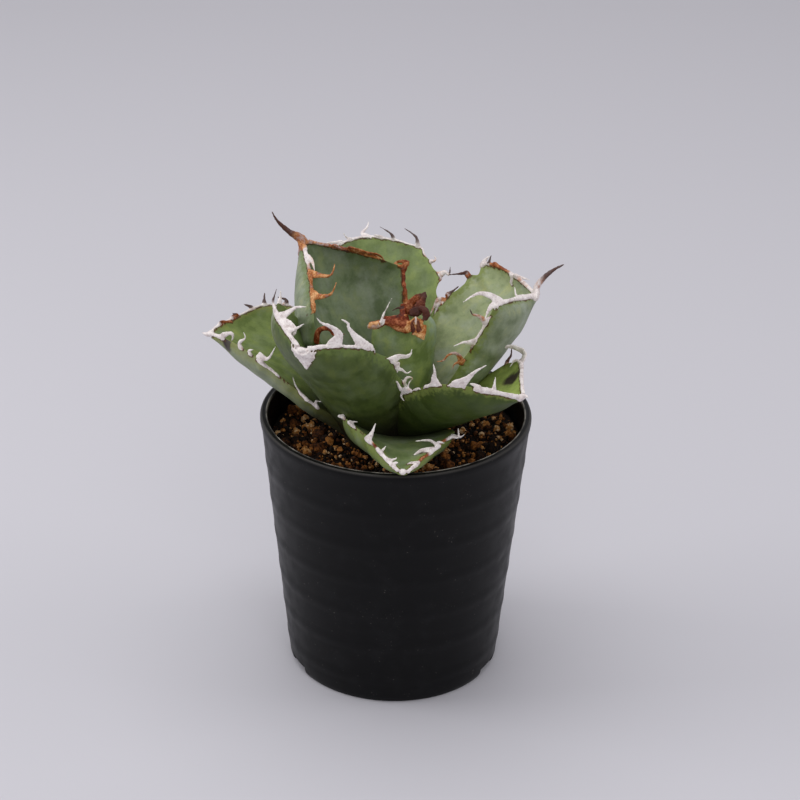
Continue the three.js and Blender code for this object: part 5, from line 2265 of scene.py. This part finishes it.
@dataclass(frozen=True)
class Lamp:
    """A square soft light that faces the plant.

    Attributes:
        name: Its name.
        place: Its place.
        size: Its width.
        power: Its power, in watts.
    """

    name: str
    place: Point
    size: float
    power: float

    PLANT = Vector((0, 0, 80))

    def hang(self) -> None:
        """Hang the light and turn it to the plant."""
        data = bpy.data.lights.new(self.name, "AREA")
        data.size = self.size * MM
        data.energy = self.power
        lamp = linked(self.name, data)
        lamp.location = Vector(self.place) * MM
        toward = self.PLANT - Vector(self.place)
        lamp.rotation_euler = toward.to_track_quat("-Z", "Y").to_euler()


class Studio:
    """The pale floor, the soft lights and the camera."""

    FLOOR = (0.60, 0.59, 0.635)
    FLOOR_ROUGHNESS = 0.6
    FLOOR_SPECULAR = 0.2
    FLOOR_REACH = 4000.0
    DISTANCE = 900.0
    PITCH = 27.26
    ROLL = 0.75
    AIM = (1.34, 0.0, 97.1)
    LENS = 121.1
    FAR = 20.0
    SKY = (0.98, 0.97, 1.0)
    SKY_STRENGTH = 0.47
    LAMPS = (
        Lamp("key", (-120, 160, 1000), 800, 3.6),
        Lamp("left_soft", (-900, 0, 550), 500, 2.8),
        Lamp("right_soft", (900, 0, 550), 500, 1.4),
        Lamp("front_soft", (100, -1000, 800), 800, 2.7),
    )

    def camera(self) -> None:
        """Place the camera at the photo's viewing angle."""
        data = bpy.data.cameras.new("view")
        data.lens = self.LENS
        data.clip_end = self.FAR
        camera = linked("view", data)
        pitch = math.radians(self.PITCH)
        forward = Vector((0, math.cos(pitch), -math.sin(pitch)))
        camera.location = (Vector(self.AIM) - forward * self.DISTANCE) * MM
        tilt = Euler((math.pi / 2 - pitch, 0, 0)).to_quaternion()
        turn = Quaternion((0, 0, 1), math.radians(self.ROLL))
        camera.rotation_euler = (tilt @ turn).to_euler()
        bpy.context.scene.camera = camera

    def floor(self) -> None:
        """Lay a wide plain floor."""
        material = Shader("pale_floor").done(self.FLOOR, self.FLOOR_ROUGHNESS, self.FLOOR_SPECULAR)
        bm = bmesh.new()
        bmesh.ops.create_grid(bm, x_segments=1, y_segments=1, size=self.FLOOR_REACH)
        finished("floor", bm, material)

    def build(self) -> None:
        """Set up the whole studio."""
        scene = bpy.context.scene
        scene.view_settings.view_transform = "Standard"
        world = bpy.data.worlds.new("studio")
        world.use_nodes = True
        world.node_tree.nodes["Background"].inputs["Color"].default_value = (*self.SKY, 1)
        world.node_tree.nodes["Background"].inputs["Strength"].default_value = self.SKY_STRENGTH
        scene.world = world
        self.camera()
        self.floor()
        for lamp in self.LAMPS:
            lamp.hang()


def main() -> None:
    """Build the studio and every piece in order."""
    logging.basicConfig(level=logging.INFO)
    Studio().build()
    pot = Pot()
    pot.build()
    Soil(pot).build()
    Stem().build()
    horn = HornFinish().material()
    for leaf in LEAVES:
        shape = LeafShape(leaf)
        margin, surface = Horn(shape).build(horn)
        settle(margin, leaf.slot, f"margin_{leaf.name}")
        blade = Blade(shape).build(surface, leaf.skin.material(leaf.name))
        settle(blade, Slot.LEAF, f"leaf_{leaf.name}")
    DryCollar(scales=COLLAR_SCALES).build(horn)


if __name__ == "__main__":
    main()
